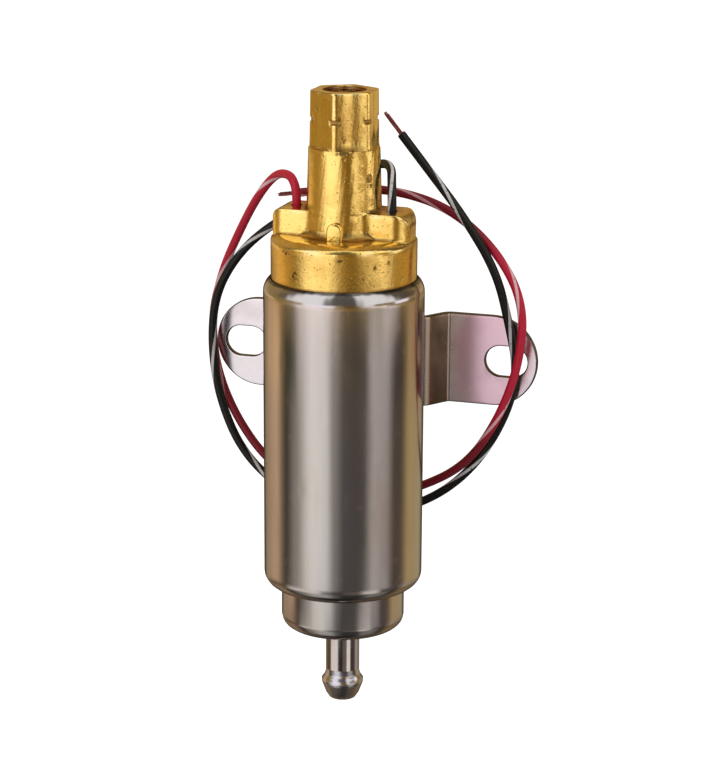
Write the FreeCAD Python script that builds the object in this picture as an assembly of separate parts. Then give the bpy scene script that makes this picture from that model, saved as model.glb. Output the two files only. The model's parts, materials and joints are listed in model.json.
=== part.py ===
"""Inline electric fuel pump: a gerotor pump and a brushed motor in a drawn steel shell.

The model is drawn about the pump axis, with height 0 at the tip of the inlet nipple, and is
moved at export so that the origin is the centre of the two bracket slots on the wall side.
All lengths are millimetres and all angles are degrees.
"""
import FreeCAD, Part
import math
import os
from FreeCAD import Vector

# Shell: deep-drawn steel can with a smaller cup at the inlet end
SHELL_DIAMETER = 38.1
SHELL_WALL = 1.2
SHELL_LENGTH = 75.4
SHELL_FOOT_RADIUS = 3.0
CUP_DIAMETER = 29.7
CUP_LENGTH = 10.7
CUP_FOOT_RADIUS = 2.5
THROAT_RADIUS = 0.5
LIP_HEIGHT = 3.3
LIP_EDGE = 0.18

# Inlet hose nipple
NIPPLE_REACH = 19.4
NIPPLE_DIAMETER = 8.2
NIPPLE_BORE = 5.2
NIPPLE_TIP_DIAMETER = 7.2
NIPPLE_TIP_ROUND = 0.5
NIPPLE_BORE_ROUND = 0.3
BEAD_DIAMETER = 10.2
BEAD_TOP = 5.9
BEAD_LAND = 0.9
BEAD_ROUND = 0.6
NIPPLE_FLANGE_DIAMETER = 13.0
NIPPLE_FLANGE_THICKNESS = 1.4

# Inlet strainer
STRAINER_WALL = 0.9
STRAINER_LEDGE = 1.3
SCREEN_THICKNESS = 0.4
SCREEN_HOLE = 1.3
SCREEN_PITCH = 2.1

# Gerotor pumping element
INLET_PLATE_THICKNESS = 5.0
OUTLET_PLATE_THICKNESS = 4.0
ROTOR_WIDTH = 7.0
INNER_TEETH = 6
ECCENTRICITY = 0.9
LOBE_CIRCLE_RADIUS = 10.5
LOBE_RADIUS = 3.0
OUTER_ROTOR_RADIUS = 12.5
TOOTH_CLEARANCE = 0.06
END_CLEARANCE = 0.05
PORT_ARC = 128.0
BLIND_PORT_DEPTH = 0.8

# Relief valve, in the thick side of the pump ring
RELIEF_BORE_RADIUS = 1.8
RELIEF_SEAT_RADIUS = 1.0
RELIEF_HEAD = 1.6
RELIEF_PLUG_THICKNESS = 2.0
RELIEF_VENT_RADIUS = 0.6
RELIEF_WIRE = 0.4
RELIEF_SPRING_RADIUS = 1.3
RELIEF_TURNS = 5

# Motor
SHAFT_RADIUS = 2.5
SHAFT_FLAT = 0.5
SHAFT_END_GAP = 0.4
BEARING_RADIUS = 4.2
BEARING_LENGTH = 6.0
UPPER_BEARING_INSET = 2.0
LOWER_HUB_RADIUS = 6.4
LOWER_HUB_HEIGHT = 3.7
THRUST_BUTTON_THICKNESS = 0.8
THRUST_POCKET_DEPTH = 3.6
FLUX_RING_WALL = 0.9
MAGNET_THICKNESS = 3.25
MAGNET_ARC = 132.0
MAGNET_OVERHANG = 3.0
AIR_GAP = 0.7
CORE_SLOTS = 12
CORE_HUB_RADIUS = 7.2
SLOT_WIDTH = 3.0
SLOT_MOUTH = 1.2
TOOTH_TIP = 1.1
END_TURN_HEIGHT = 4.2
END_TURN_ROUND = 1.9
END_TURN_BORE_RADIUS = 4.1
END_TURN_GAP = 1.1
CLIP_THICKNESS = 0.5
COMMUTATOR_GAP = 2.4
COMMUTATOR_BASE = 2.4
SEGMENT_THICKNESS = 1.6
SEGMENT_GAP = 0.6
SEGMENT_INNER_RADIUS = 6.2
COMMUTATOR_EDGE_RADIUS = 0.3

# Brush gear, one set in each tower of the outlet head
BRUSH_TRACK_MARGIN = 1.4
BRUSH_BREADTH = 5.9
BRUSH_LENGTH = 12.0
BRUSH_INSET = 0.35
SLEEVE_BEARING_WALL = 1.05
SLEEVE_DROP = 1.2
SLEEVE_ROOF = 0.4
BRUSH_WIRE = 0.5
BRUSH_SPRING_MARGIN = 0.75
BRUSH_SPRING_TURNS = 6
TERMINAL_THICKNESS = 1.0

# Brass outlet head
FLANGE_HEIGHT = 6.2
FLANGE_EDGE_RADIUS = 0.3
DISC_SETBACK = 1.85
DISC_HEIGHT = 10.5
DISC_EDGE_RADIUS = 0.6
DISC_SLOPE_WIDTH = 1.9
DISC_SLOPE_DROP = 1.1
TOWER_WALL = 1.0
TOWER_HEIGHT = 5.9
TOWER_CORNER_RADIUS = 3.0
TOWER_END_ROUND = 3.8
TOWER_INSET = 0.5
TOWER_WEB_RADIUS = 4.6
TOWER_ROOF = 2.5
BOSS_HEIGHT = 33.7
BOSS_FOOT_RADIUS = 9.0
BOSS_NECK_RADIUS = 8.35
BOSS_FILLET = 1.8
HEX_HEIGHT = 13.3
HEX_TOP_FLATS = 14.4
HEX_FOOT_FLATS = 14.7
HEX_TOP_ROUND = 8.12
HEX_FOOT_ROUND = 8.3
HEX_GROOVE_DROP = 6.7
HEX_GROOVE_WIDTH = 1.2
HEX_GROOVE_RADIUS = 7.55
HEX_GROOVE_FLANK = 0.2
MOUTH_EDGE_RADIUS = 0.4
NUB_WIDTH = 3.7
NUB_HEIGHT = 4.1
NUB_REACH = 1.3
NUB_ANGLE = 4.0
THREAD_RADIUS = 4.37
THREAD_LENGTH = 10.3
MOUTH_RADIUS = 5.4
FEED_HOLE_RADIUS = 1.5
FEED_HOLE_WALL = 1.2
FEED_GALLERY_RISE = 2.0
SEAL_SECTION = 1.8
SEAL_GROOVE_WIDTH = 2.4

# Outlet check valve, in the boss
CHECK_BORE_RADIUS = 4.1
CHECK_SEAT_RADIUS = 2.6
CHECK_CHAMBER = 15.4
POPPET_RADIUS = 3.5
POPPET_HEAD = 2.0
POPPET_EDGE_RADIUS = 0.4
POPPET_STEM_RADIUS = 1.1
POPPET_STEM_ENTRY = 1.0
CAGE_THICKNESS = 2.5
CAGE_DROP = 1.4
CAGE_WALL = 0.8
SPOKE_WIDTH = 0.9
SPOKES = 3
CHECK_WIRE = 0.5
CHECK_SPRING_RADIUS = 1.7
CHECK_TURNS = 4

# Leads, 18 gauge thin-wall primary wire
LEAD_DIAMETER = 2.1
LEAD_SPACING = 23.2
STRAND_DIAMETER = 1.2
RED_STRAND_LENGTH = 4.6
BLACK_STRAND_LENGTH = 6.4
GROMMET_RADIUS = 1.9
GROMMET_STAND = 0.3

# Mounting bracket: a hat-section strap, flat on the wall side
BRACKET_HEIGHT = 22.5
BRACKET_THICKNESS = 1.6
BRACKET_WEB_HALF = 14.8
BRACKET_KNEE_HALF = 19.1
BRACKET_STAND_OFF = 6.25
BRACKET_BEND_RADIUS = 1.4
BRACKET_CENTRE_HEIGHT = 81.2
SLOT_SPACING = 67.0
MOUNT_SLOT_LENGTH = 10.5
MOUNT_SLOT_WIDTH = 7.6
EAR_MARGIN = 2.45

# Fits
FIT = 0.05
RUNNING_FIT = 0.04
SLIDING_FIT = 0.10

# How far a raised part is carried down into the face that it stands on
ROOT = 1.0

# Radii that follow from the sizes above
SHELL_RADIUS = SHELL_DIAMETER / 2
BORE_RADIUS = SHELL_RADIUS - SHELL_WALL
STACK_RADIUS = BORE_RADIUS - FIT
CUP_RADIUS = CUP_DIAMETER / 2
CUP_BORE = CUP_RADIUS - SHELL_WALL
SHELL_FOOT_INNER = SHELL_FOOT_RADIUS - SHELL_WALL
CUP_FOOT_INNER = CUP_FOOT_RADIUS - SHELL_WALL
THROAT_INNER = THROAT_RADIUS + SHELL_WALL
DISC_RADIUS = SHELL_RADIUS - DISC_SETBACK
FLUX_BORE = STACK_RADIUS - FLUX_RING_WALL
MAGNET_RADIUS = FLUX_BORE - FIT
MAGNET_BORE = MAGNET_RADIUS - MAGNET_THICKNESS
CORE_RADIUS = MAGNET_BORE - AIR_GAP
COMMUTATOR_RADIUS = CORE_RADIUS - FIT
OUTER_TEETH = INNER_TEETH + 1
RELIEF_X = -(STACK_RADIUS + OUTER_ROTOR_RADIUS - ECCENTRICITY) / 2
BRUSH_WIDTH = COMMUTATOR_RADIUS - BRUSH_INSET - SEGMENT_INNER_RADIUS - BRUSH_TRACK_MARGIN
BRUSH_X = COMMUTATOR_RADIUS - BRUSH_INSET - BRUSH_WIDTH / 2
BRUSH_SPRING_RADIUS = BRUSH_WIDTH / 2 - BRUSH_SPRING_MARGIN
SLEEVE_RADIUS = BRUSH_X - BEARING_RADIUS - SLEEVE_BEARING_WALL
TOWER_WIDTH = 2 * (SLEEVE_RADIUS + TOWER_WALL)
TOWER_REACH = DISC_RADIUS - TOWER_INSET
LEAD_X = LEAD_SPACING / 2

# Heights that follow from the sizes above, from the inlet up
CUP_FLOOR = NIPPLE_REACH + SHELL_WALL
SHELL_FOOT = NIPPLE_REACH + CUP_LENGTH
LEDGE = SHELL_FOOT + SHELL_WALL
ROTOR_FOOT = LEDGE + INLET_PLATE_THICKNESS
ROTOR_TOP = ROTOR_FOOT + ROTOR_WIDTH
PLATE_TOP = ROTOR_TOP + OUTLET_PLATE_THICKNESS
LOWER_HUB_TOP = PLATE_TOP + LOWER_HUB_HEIGHT
SHELL_TOP = SHELL_FOOT + SHELL_LENGTH
FLANGE_TOP = SHELL_TOP - LIP_HEIGHT
HEAD_FOOT = FLANGE_TOP - FLANGE_HEIGHT
COMMUTATOR_FACE = HEAD_FOOT - COMMUTATOR_GAP
COMMUTATOR_FOOT = COMMUTATOR_FACE - SEGMENT_THICKNESS - COMMUTATOR_BASE
CORE_FOOT = LOWER_HUB_TOP + END_TURN_GAP + END_TURN_HEIGHT
CORE_TOP = COMMUTATOR_FOOT - END_TURN_GAP - END_TURN_HEIGHT
DISC_TOP = SHELL_TOP + DISC_HEIGHT
TOWER_TOP = DISC_TOP + TOWER_HEIGHT
TOWER_CEILING = TOWER_TOP - TOWER_ROOF
OUTLET_TOP = DISC_TOP + BOSS_HEIGHT
HEX_FOOT = OUTLET_TOP - HEX_HEIGHT
THREAD_FOOT = OUTLET_TOP - THREAD_LENGTH
CHECK_SEAT = THREAD_FOOT - CHECK_CHAMBER
CAGE_TOP = THREAD_FOOT - CAGE_DROP
CAGE_FOOT = CAGE_TOP - CAGE_THICKNESS
THRUST_FLOOR = ROTOR_FOOT - THRUST_POCKET_DEPTH
UPPER_BEARING_FOOT = HEAD_FOOT + UPPER_BEARING_INSET
UPPER_BEARING_TOP = UPPER_BEARING_FOOT + BEARING_LENGTH
GALLERY_FOOT = UPPER_BEARING_TOP + FEED_GALLERY_RISE
GALLERY_TOP = GALLERY_FOOT + 2 * FEED_HOLE_RADIUS
TERMINAL_TOP = TOWER_CEILING - SLEEVE_ROOF
BRUSH_FOOT = COMMUTATOR_FACE + END_CLEARANCE
POPPET_FOOT = CHECK_SEAT + END_CLEARANCE
RELIEF_POPPET_TOP = ROTOR_TOP - END_CLEARANCE
RELIEF_POPPET_FOOT = RELIEF_POPPET_TOP - RELIEF_HEAD
RELIEF_PLUG_FOOT = LEDGE + RELIEF_VENT_RADIUS
RELIEF_PLUG_TOP = RELIEF_PLUG_FOOT + RELIEF_PLUG_THICKNESS
BRACKET_FRONT = SHELL_RADIUS + BRACKET_STAND_OFF
BRACKET_BACK = BRACKET_FRONT + BRACKET_THICKNESS
BRACKET_HALF_LENGTH = SLOT_SPACING / 2 + MOUNT_SLOT_LENGTH / 2 + EAR_MARGIN

# The origin of the part: between the two slots, on the bracket's wall side
ORIGIN = Vector(0, BRACKET_BACK, BRACKET_CENTRE_HEIGHT)

UP = Vector(0, 0, 1)

# The leads' routes about the pump axis, first point inside the tower, last point at the
# end of the insulation. Both hang in one loose ring behind the shell, before the ears.
RED_ROUTE = [
    (-LEAD_X, 0.0, TERMINAL_TOP),
    (-LEAD_X, 0.0, 122.8),
    (-11.8, 0.4, 126.8),
    (-14.6, 3.4, 129.3),
    (-19.6, 8.0, 127.5),
    (-26.1, 13.4, 120.6),
    (-32.6, 18.8, 110.8),
    (-38.1, 22.6, 99.6),
    (-41.1, 23.8, 87.0),
    (-39.8, 23.5, 74.0),
    (-35.0, 22.7, 61.6),
    (-26.8, 22.6, 50.8),
    (-14.8, 22.6, 44.4),
    (-1.2, 22.6, 43.6),
    (12.4, 22.4, 47.4),
    (24.2, 21.6, 56.0),
    (32.6, 20.8, 68.4),
    (38.0, 20.6, 82.6),
    (38.6, 20.9, 97.4),
    (31.6, 21.6, 110.0),
    (20.0, 20.8, 119.6),
    (6.6, 15.8, 124.0),
    (-6.4, 13.0, 123.6),
    (-15.6, 11.8, 122.4),
]
BLACK_ROUTE = [
    (LEAD_X, 0.0, TERMINAL_TOP),
    (LEAD_X, 0.0, 123.8),
    (11.7, 0.6, 128.8),
    (10.6, 5.2, 131.8),
    (6.2, 10.6, 131.6),
    (-2.4, 15.6, 126.8),
    (-12.6, 17.9, 119.2),
    (-23.3, 18.2, 113.6),
    (-32.6, 18.6, 105.2),
    (-38.8, 19.4, 94.0),
    (-41.8, 20.4, 80.6),
    (-39.6, 21.4, 66.8),
    (-33.6, 22.2, 53.4),
    (-23.4, 22.6, 43.8),
    (-9.8, 22.8, 39.8),
    (4.4, 22.8, 40.4),
    (17.4, 22.8, 45.2),
    (28.0, 23.0, 54.8),
    (35.2, 23.5, 68.0),
    (37.4, 23.6, 79.6),
    (35.0, 22.7, 91.0),
    (31.2, 20.4, 104.4),
    (24.2, 17.0, 118.4),
    (16.2, 14.3, 130.8),
    (10.6, 12.2, 138.4),
]


def at_axis(radius, height):
    """A point of an upright half section: distance from the pump axis, and height."""
    return Vector(radius, 0, height)


def in_plan(across, back):
    """A point of a plan, seen from above."""
    return Vector(across, back, 0)


def in_front(across, height):
    """A point of a front view."""
    return Vector(across, 0, height)


def bend_arc(start, corner, end):
    """The arc that leaves start towards corner and reaches end; corner is as far from both."""
    middle = (start + end) * 0.5
    rise = corner - middle
    half_chord = (end - start).Length / 2
    half_turn = math.atan2(rise.Length, half_chord)
    crown = middle + rise.normalize() * (half_chord * math.tan(half_turn / 2))
    return Part.Arc(start, crown, end).toShape()


def rounded_face(corners, place):
    """A closed flat outline of (u, v, corner radius) points, with tangent arcs at its corners."""
    points = [place(corner[0], corner[1]) for corner in corners]
    entries = []
    exits = []
    for index, corner in enumerate(corners):
        here = points[index]
        back = (points[index - 1] - here).normalize()
        ahead = (points[(index + 1) % len(points)] - here).normalize()
        half_angle = back.getAngle(ahead) / 2
        trim = corner[2] / math.tan(half_angle)
        entries.append(here + back * trim)
        exits.append(here + ahead * trim)
    edges = []
    for index, corner in enumerate(corners):
        if corner[2] > 0:
            edges.append(bend_arc(entries[index], points[index], exits[index]))
        following = (index + 1) % len(points)
        if (entries[following] - exits[index]).Length > 1e-6:
            edges.append(Part.LineSegment(exits[index], entries[following]).toShape())
    return Part.Face(Part.Wire(edges))


def turned(corners):
    """A solid of revolution about the pump axis from an upright half section."""
    return rounded_face(corners, at_axis).revolve(Vector(0, 0, 0), UP, 360)


def rod(radius, foot, top, across=0.0, back=0.0):
    """An upright cylinder."""
    return Part.makeCylinder(radius, top - foot, Vector(across, back, foot))


def ring(outer, inner, foot, top, across=0.0, back=0.0):
    """An upright tube."""
    return rod(outer, foot, top, across, back).cut(rod(inner, foot, top, across, back))


def block(width, breadth, foot, top, across=0.0, back=0.0):
    """An upright rectangular bar, centred on its own axis."""
    corner = Vector(across - width / 2, back - breadth / 2, foot)
    return Part.makeBox(width, breadth, top - foot, corner)


def turned_about(shape, angle, across=0.0, back=0.0):
    """A copy of shape, turned about an upright axis."""
    copy = shape.copy()
    copy.rotate(Vector(across, back, 0), UP, angle)
    return copy


def around(shape, count, start=0.0):
    """Equally spaced copies of shape about the pump axis."""
    return [turned_about(shape, start + 360.0 * index / count) for index in range(count)]


def lengthwise_slot(length, width, place, depth):
    """A round-ended bar: length and width in the plane of place, drawn out along depth."""
    half = length / 2 - width / 2
    radius = width / 2
    lines = [
        Part.LineSegment(place(-half, radius), place(half, radius)).toShape(),
        Part.Arc(place(half, radius), place(half + radius, 0), place(half, -radius)).toShape(),
        Part.LineSegment(place(half, -radius), place(-half, -radius)).toShape(),
        Part.Arc(place(-half, -radius), place(-half - radius, 0), place(-half, radius)).toShape(),
    ]
    return Part.Face(Part.Wire(lines)).extrude(depth)


def arc_band(outer, inner, angle, foot, top, round_ends=False):
    """A curved bar about the pump axis, centred on +X, with square or round ends."""
    half = math.radians(angle / 2)

    def spot(radius, turn):
        return Vector(radius * math.cos(turn), radius * math.sin(turn), foot)

    edges = [
        Part.Arc(spot(outer, -half), spot(outer, 0), spot(outer, half)).toShape(),
        Part.Arc(spot(inner, half), spot(inner, 0), spot(inner, -half)).toShape(),
    ]
    middle = (outer + inner) / 2
    bulge = math.atan2((outer - inner) / 2, middle)
    if round_ends:
        far_tip = spot(math.hypot(middle, (outer - inner) / 2), half + bulge)
        near_tip = spot(math.hypot(middle, (outer - inner) / 2), -half - bulge)
        edges.insert(1, Part.Arc(spot(outer, half), far_tip, spot(inner, half)).toShape())
        edges.append(Part.Arc(spot(inner, -half), near_tip, spot(outer, -half)).toShape())
    else:
        edges.insert(1, Part.LineSegment(spot(outer, half), spot(inner, half)).toShape())
        edges.append(Part.LineSegment(spot(inner, -half), spot(outer, -half)).toShape())
    return Part.Face(Part.Wire(edges)).extrude(UP * (top - foot))


def coil_spring(name, mean_radius, wire, foot, top, turns, across=0.0):
    """A wire coil standing between two seats: two tangent arcs for each quarter turn."""
    low = foot + wire / 2
    rise = (top - foot - wire) / (2 * math.pi * turns)
    quarters = 4 * turns

    def helix(turn):
        return Vector(across + mean_radius * math.cos(turn), mean_radius * math.sin(turn), low + rise * turn)

    def heading(turn):
        return Vector(-mean_radius * math.sin(turn), mean_radius * math.cos(turn), rise).normalize()

    edges = []
    for quarter in range(quarters):
        start_turn = quarter * math.pi / 2
        end_turn = start_turn + math.pi / 2
        start, end = helix(start_turn), helix(end_turn)
        leave, arrive = heading(start_turn), heading(end_turn)
        chord = end - start
        spread = 2 * (1 - leave.dot(arrive))
        along = chord.dot(leave + arrive)
        reach = (math.sqrt(along * along + spread * chord.dot(chord)) - along) / spread
        first_corner = start + leave * reach
        second_corner = end - arrive * reach
        joint = (first_corner + second_corner) * 0.5
        edges.append(bend_arc(start, first_corner, joint))
        edges.append(bend_arc(joint, second_corner, end))
    section = Part.Wire(Part.Circle(helix(0), heading(0), wire / 2).toShape())
    coil = Part.Wire(edges).makePipeShell([section], True, False)
    gap = 2 * math.pi * rise - wire
    print(name, "gap between turns", round(gap, 2), "mm")
    return coil


def lead_tube(name, route, diameter):
    """A round tube of straight runs joined by tangent arcs, each as large as its runs allow."""
    points = [Vector(*point) for point in route]
    edges = []
    radii = []
    leave = points[0]
    for before, here, after in zip(points, points[1:], points[2:]):
        inwards = (before - here).normalize()
        onwards = (after - here).normalize()
        half_turn = (math.pi - inwards.getAngle(onwards)) / 2
        trim = 0.45 * min((before - here).Length, (after - here).Length)
        radii.append(trim / math.tan(half_turn))
        arc_start = here + inwards * trim
        arc_end = here + onwards * trim
        edges.append(Part.LineSegment(leave, arc_start).toShape())
        edges.append(bend_arc(arc_start, here, arc_end))
        leave = arc_end
    edges.append(Part.LineSegment(leave, points[-1]).toShape())
    path = Part.Wire(edges)
    section = Part.Wire(Part.Circle(points[0], points[1] - points[0], diameter / 2).toShape())
    tube = path.makePipeShell([section], True, False)
    expected = math.pi * diameter ** 2 / 4 * path.Length
    print(name, "length", round(path.Length, 1), "mm, volume over section times length",
          round(tube.Volume / expected, 4))
    print(name, "bend radii", [round(radius, 1) for radius in radii], "mm")
    return tube


def strand_end(route, length):
    """The stripped end of a lead, going straight on from its insulation."""
    end = Vector(*route[-1])
    heading = (end - Vector(*route[-2])).normalize()
    return Part.makeCylinder(STRAND_DIAMETER / 2, length, end, heading)


def make_shell():
    """The drawn can: cup, foot, straight wall and a lip rolled in over the head's flange."""
    hole = NIPPLE_DIAMETER / 2 + FIT
    step = BORE_RADIUS - DISC_RADIUS - FIT
    lip_bore = DISC_RADIUS + FIT
    lip_reach = SHELL_RADIUS - lip_bore - LIP_EDGE
    lip_tangent = (lip_reach ** 2 + LIP_HEIGHT ** 2) / (2 * LIP_HEIGHT)
    lip_radius = lip_tangent * LIP_HEIGHT / lip_reach
    return turned([
        (hole, NIPPLE_REACH, 0),
        (CUP_RADIUS, NIPPLE_REACH, CUP_FOOT_RADIUS),
        (CUP_RADIUS, SHELL_FOOT, THROAT_RADIUS),
        (SHELL_RADIUS, SHELL_FOOT, SHELL_FOOT_RADIUS),
        (SHELL_RADIUS, FLANGE_TOP + lip_tangent, lip_radius),
        (SHELL_RADIUS - lip_reach, SHELL_TOP, 0),
        (lip_bore, SHELL_TOP, 0),
        (lip_bore, FLANGE_TOP + step, 0),
        (BORE_RADIUS, FLANGE_TOP, 0),
        (BORE_RADIUS, LEDGE, SHELL_FOOT_INNER),
        (CUP_BORE, LEDGE, THROAT_INNER),
        (CUP_BORE, CUP_FLOOR, CUP_FOOT_INNER),
        (hole, CUP_FLOOR, 0),
    ])


def make_nipple():
    """The hose nipple: a beaded tube with a flange that seats inside the cup."""
    tube = NIPPLE_DIAMETER / 2
    bead = BEAD_DIAMETER / 2
    flange_top = CUP_FLOOR + NIPPLE_FLANGE_THICKNESS
    shoulder = BEAD_TOP - (bead - tube)
    return turned([
        (NIPPLE_BORE / 2, 0, NIPPLE_BORE_ROUND),
        (NIPPLE_TIP_DIAMETER / 2, 0, NIPPLE_TIP_ROUND),
        (bead, shoulder - BEAD_LAND, BEAD_ROUND),
        (bead, shoulder, BEAD_ROUND),
        (tube, BEAD_TOP, BEAD_ROUND),
        (tube, CUP_FLOOR, 0),
        (NIPPLE_FLANGE_DIAMETER / 2, CUP_FLOOR, 0),
        (NIPPLE_FLANGE_DIAMETER / 2, flange_top, 0),
        (NIPPLE_BORE / 2, flange_top, 0),
    ])


def make_strainer_frame():
    """The moulded basket that stands in the cup on a turned-in foot and carries the screen."""
    outer = CUP_BORE - FIT
    inner = outer - STRAINER_WALL
    lip = inner - STRAINER_LEDGE
    screen_foot = LEDGE - SCREEN_THICKNESS
    ledge_foot = screen_foot - STRAINER_LEDGE
    return turned([
        (lip, CUP_FLOOR, 0),
        (outer, CUP_FLOOR, CUP_FOOT_INNER),
        (outer, LEDGE - THROAT_INNER, 0),
        (inner, LEDGE - THROAT_INNER + STRAINER_WALL, 0),
        (inner, screen_foot, 0),
        (lip, screen_foot, 0),
        (lip, ledge_foot, 0),
        (inner, ledge_foot - STRAINER_LEDGE, 0),
        (inner, CUP_FLOOR + STRAINER_WALL, 0),
        (lip, CUP_FLOOR + STRAINER_WALL, 0),
    ])


def make_screen():
    """The strainer screen: a thin disc with square openings, held under the inlet plate."""
    radius = CUP_BORE - FIT - STRAINER_WALL
    foot = LEDGE - SCREEN_THICKNESS
    disc = rod(radius, foot, LEDGE)
    steps = int(radius // SCREEN_PITCH)
    openings = []
    for row in range(-steps, steps + 1):
        for column in range(-steps, steps + 1):
            across = row * SCREEN_PITCH
            back = column * SCREEN_PITCH
            if math.hypot(across, back) + SCREEN_HOLE < radius - STRAINER_LEDGE:
                openings.append(block(SCREEN_HOLE, SCREEN_HOLE, foot, LEDGE, across, back))
    return disc.cut(Part.makeCompound(openings))


def port(foot, top, side):
    """A kidney-shaped port below or above the rotors' pockets; side is 1 to the back."""
    inner = LOBE_CIRCLE_RADIUS - LOBE_RADIUS - ECCENTRICITY
    outer = LOBE_CIRCLE_RADIUS - LOBE_RADIUS + 2 * ECCENTRICITY
    return turned_about(arc_band(outer, inner, PORT_ARC, foot, top, True), 90.0 * side)


def make_inlet_plate():
    """The lower cover: inlet port, thrust pocket and the seat of the relief valve's plug."""
    plate = turned([
        (0, LEDGE, 0),
        (STACK_RADIUS, LEDGE, SHELL_FOOT_INNER),
        (STACK_RADIUS, ROTOR_FOOT, 0),
        (0, ROTOR_FOOT, 0),
    ])
    plate = plate.cut(port(LEDGE, ROTOR_FOOT, 1))
    plate = plate.cut(rod(SHAFT_RADIUS + RUNNING_FIT, THRUST_FLOOR, ROTOR_FOOT))
    plate = plate.cut(rod(RELIEF_BORE_RADIUS, LEDGE, ROTOR_FOOT, RELIEF_X))
    vent = block(STACK_RADIUS - LOBE_CIRCLE_RADIUS + LOBE_RADIUS, 2 * RELIEF_VENT_RADIUS,
                 LEDGE, LEDGE + RELIEF_VENT_RADIUS, -(CUP_BORE - STRAINER_WALL))
    return plate.cut(vent)


def make_pump_ring():
    """The eccentric ring that the outer rotor runs in."""
    body = rod(STACK_RADIUS, ROTOR_FOOT, ROTOR_TOP)
    body = body.cut(rod(OUTER_ROTOR_RADIUS + RUNNING_FIT, ROTOR_FOOT, ROTOR_TOP, ECCENTRICITY))
    return body.cut(rod(RELIEF_BORE_RADIUS, ROTOR_FOOT, ROTOR_TOP, RELIEF_X))


def make_outlet_plate():
    """The upper cover: outlet port, relief passage and the hub of the lower bearing."""
    plate = rod(STACK_RADIUS, ROTOR_TOP, PLATE_TOP).fuse(rod(LOWER_HUB_RADIUS, PLATE_TOP, LOWER_HUB_TOP))
    plate = plate.cut(port(ROTOR_TOP, PLATE_TOP, -1))
    plate = plate.cut(rod(SHAFT_RADIUS + SLIDING_FIT, ROTOR_TOP, LOWER_HUB_TOP))
    plate = plate.cut(rod(BEARING_RADIUS, LOWER_HUB_TOP - BEARING_LENGTH, LOWER_HUB_TOP))
    plate = plate.cut(rod(RELIEF_SEAT_RADIUS, ROTOR_TOP, PLATE_TOP, RELIEF_X))
    return plate.cut(port(ROTOR_TOP, ROTOR_TOP + BLIND_PORT_DEPTH, 1))


def spline_face(points):
    """A flat face inside one smooth closed curve through the points."""
    curve = Part.BSplineCurve()
    curve.interpolate(Points=points, PeriodicFlag=True)
    return Part.Face(Part.Wire(curve.toShape()))


def make_inner_rotor():
    """The driving rotor: the curve that stays in touch with every lobe of the outer rotor.

    A lobe centre, seen from the turning inner rotor, runs along
    R (cos t, sin t) + e (cos N t, sin N t), with N lobes. The tooth flank is that curve
    moved inwards by the lobe radius and the tooth clearance.
    """
    offset = LOBE_RADIUS + TOOTH_CLEARANCE
    samples = 24 * INNER_TEETH
    points = []
    for sample in range(samples):
        turn = 2 * math.pi * sample / samples
        fast = OUTER_TEETH * turn
        across = LOBE_CIRCLE_RADIUS * math.cos(turn) + ECCENTRICITY * math.cos(fast)
        back = LOBE_CIRCLE_RADIUS * math.sin(turn) + ECCENTRICITY * math.sin(fast)
        run_across = -LOBE_CIRCLE_RADIUS * math.sin(turn) - ECCENTRICITY * OUTER_TEETH * math.sin(fast)
        run_back = LOBE_CIRCLE_RADIUS * math.cos(turn) + ECCENTRICITY * OUTER_TEETH * math.cos(fast)
        speed = math.hypot(run_across, run_back)
        points.append(Vector(across - offset * run_back / speed,
                             back + offset * run_across / speed,
                             ROTOR_FOOT + END_CLEARANCE))
    rotor = spline_face(points).extrude(UP * (ROTOR_WIDTH - 2 * END_CLEARANCE))
    return rotor.cut(shaft_section(ROTOR_FOOT, ROTOR_TOP, FIT))


def make_outer_rotor():
    """The driven rotor: a ring with one more lobe than the inner rotor has teeth."""
    foot = ROTOR_FOOT + END_CLEARANCE
    top = ROTOR_TOP - END_CLEARANCE
    valley = LOBE_CIRCLE_RADIUS - LOBE_RADIUS + 2 * ECCENTRICITY + TOOTH_CLEARANCE
    body = ring(OUTER_ROTOR_RADIUS, valley, foot, top)
    lobe = rod(LOBE_RADIUS, foot, top, LOBE_CIRCLE_RADIUS)
    lobes = around(lobe, OUTER_TEETH)
    body = body.fuse(lobes).common(rod(OUTER_ROTOR_RADIUS, foot, top))
    body.translate(Vector(ECCENTRICITY, 0, 0))
    return body


def shaft_section(foot, top, clearance=0.0):
    """A length of shaft with the driving flat on its front."""
    radius = SHAFT_RADIUS + clearance
    flat = SHAFT_RADIUS - SHAFT_FLAT + clearance
    section = rod(radius, foot, top)
    return section.cut(block(2 * radius, radius, foot, top, 0, -flat - radius / 2))


def make_shaft():
    """The armature shaft, from the thrust button to the upper bearing."""
    foot = THRUST_FLOOR + THRUST_BUTTON_THICKNESS + END_CLEARANCE
    round_part = rod(SHAFT_RADIUS, ROTOR_TOP, UPPER_BEARING_TOP - SHAFT_END_GAP)
    return round_part.fuse(shaft_section(foot, ROTOR_TOP))


def slot_cutter(clearance, foot, top):
    """One armature slot: the winding space and its narrow mouth."""
    tip = CORE_RADIUS - TOOTH_TIP
    length = tip - CORE_HUB_RADIUS - 2 * clearance
    window = block(length, SLOT_WIDTH - 2 * clearance, foot, top, (tip + CORE_HUB_RADIUS) / 2)
    if clearance > 0:
        return window
    return window.fuse(block(2 * TOOTH_TIP, SLOT_MOUTH, foot, top, CORE_RADIUS))


def make_core():
    """The laminated armature core, with a slot for each coil."""
    core = ring(CORE_RADIUS, SHAFT_RADIUS, CORE_FOOT, CORE_TOP)
    return core.cut(Part.makeCompound(around(slot_cutter(0, CORE_FOOT, CORE_TOP), CORE_SLOTS)))


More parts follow.
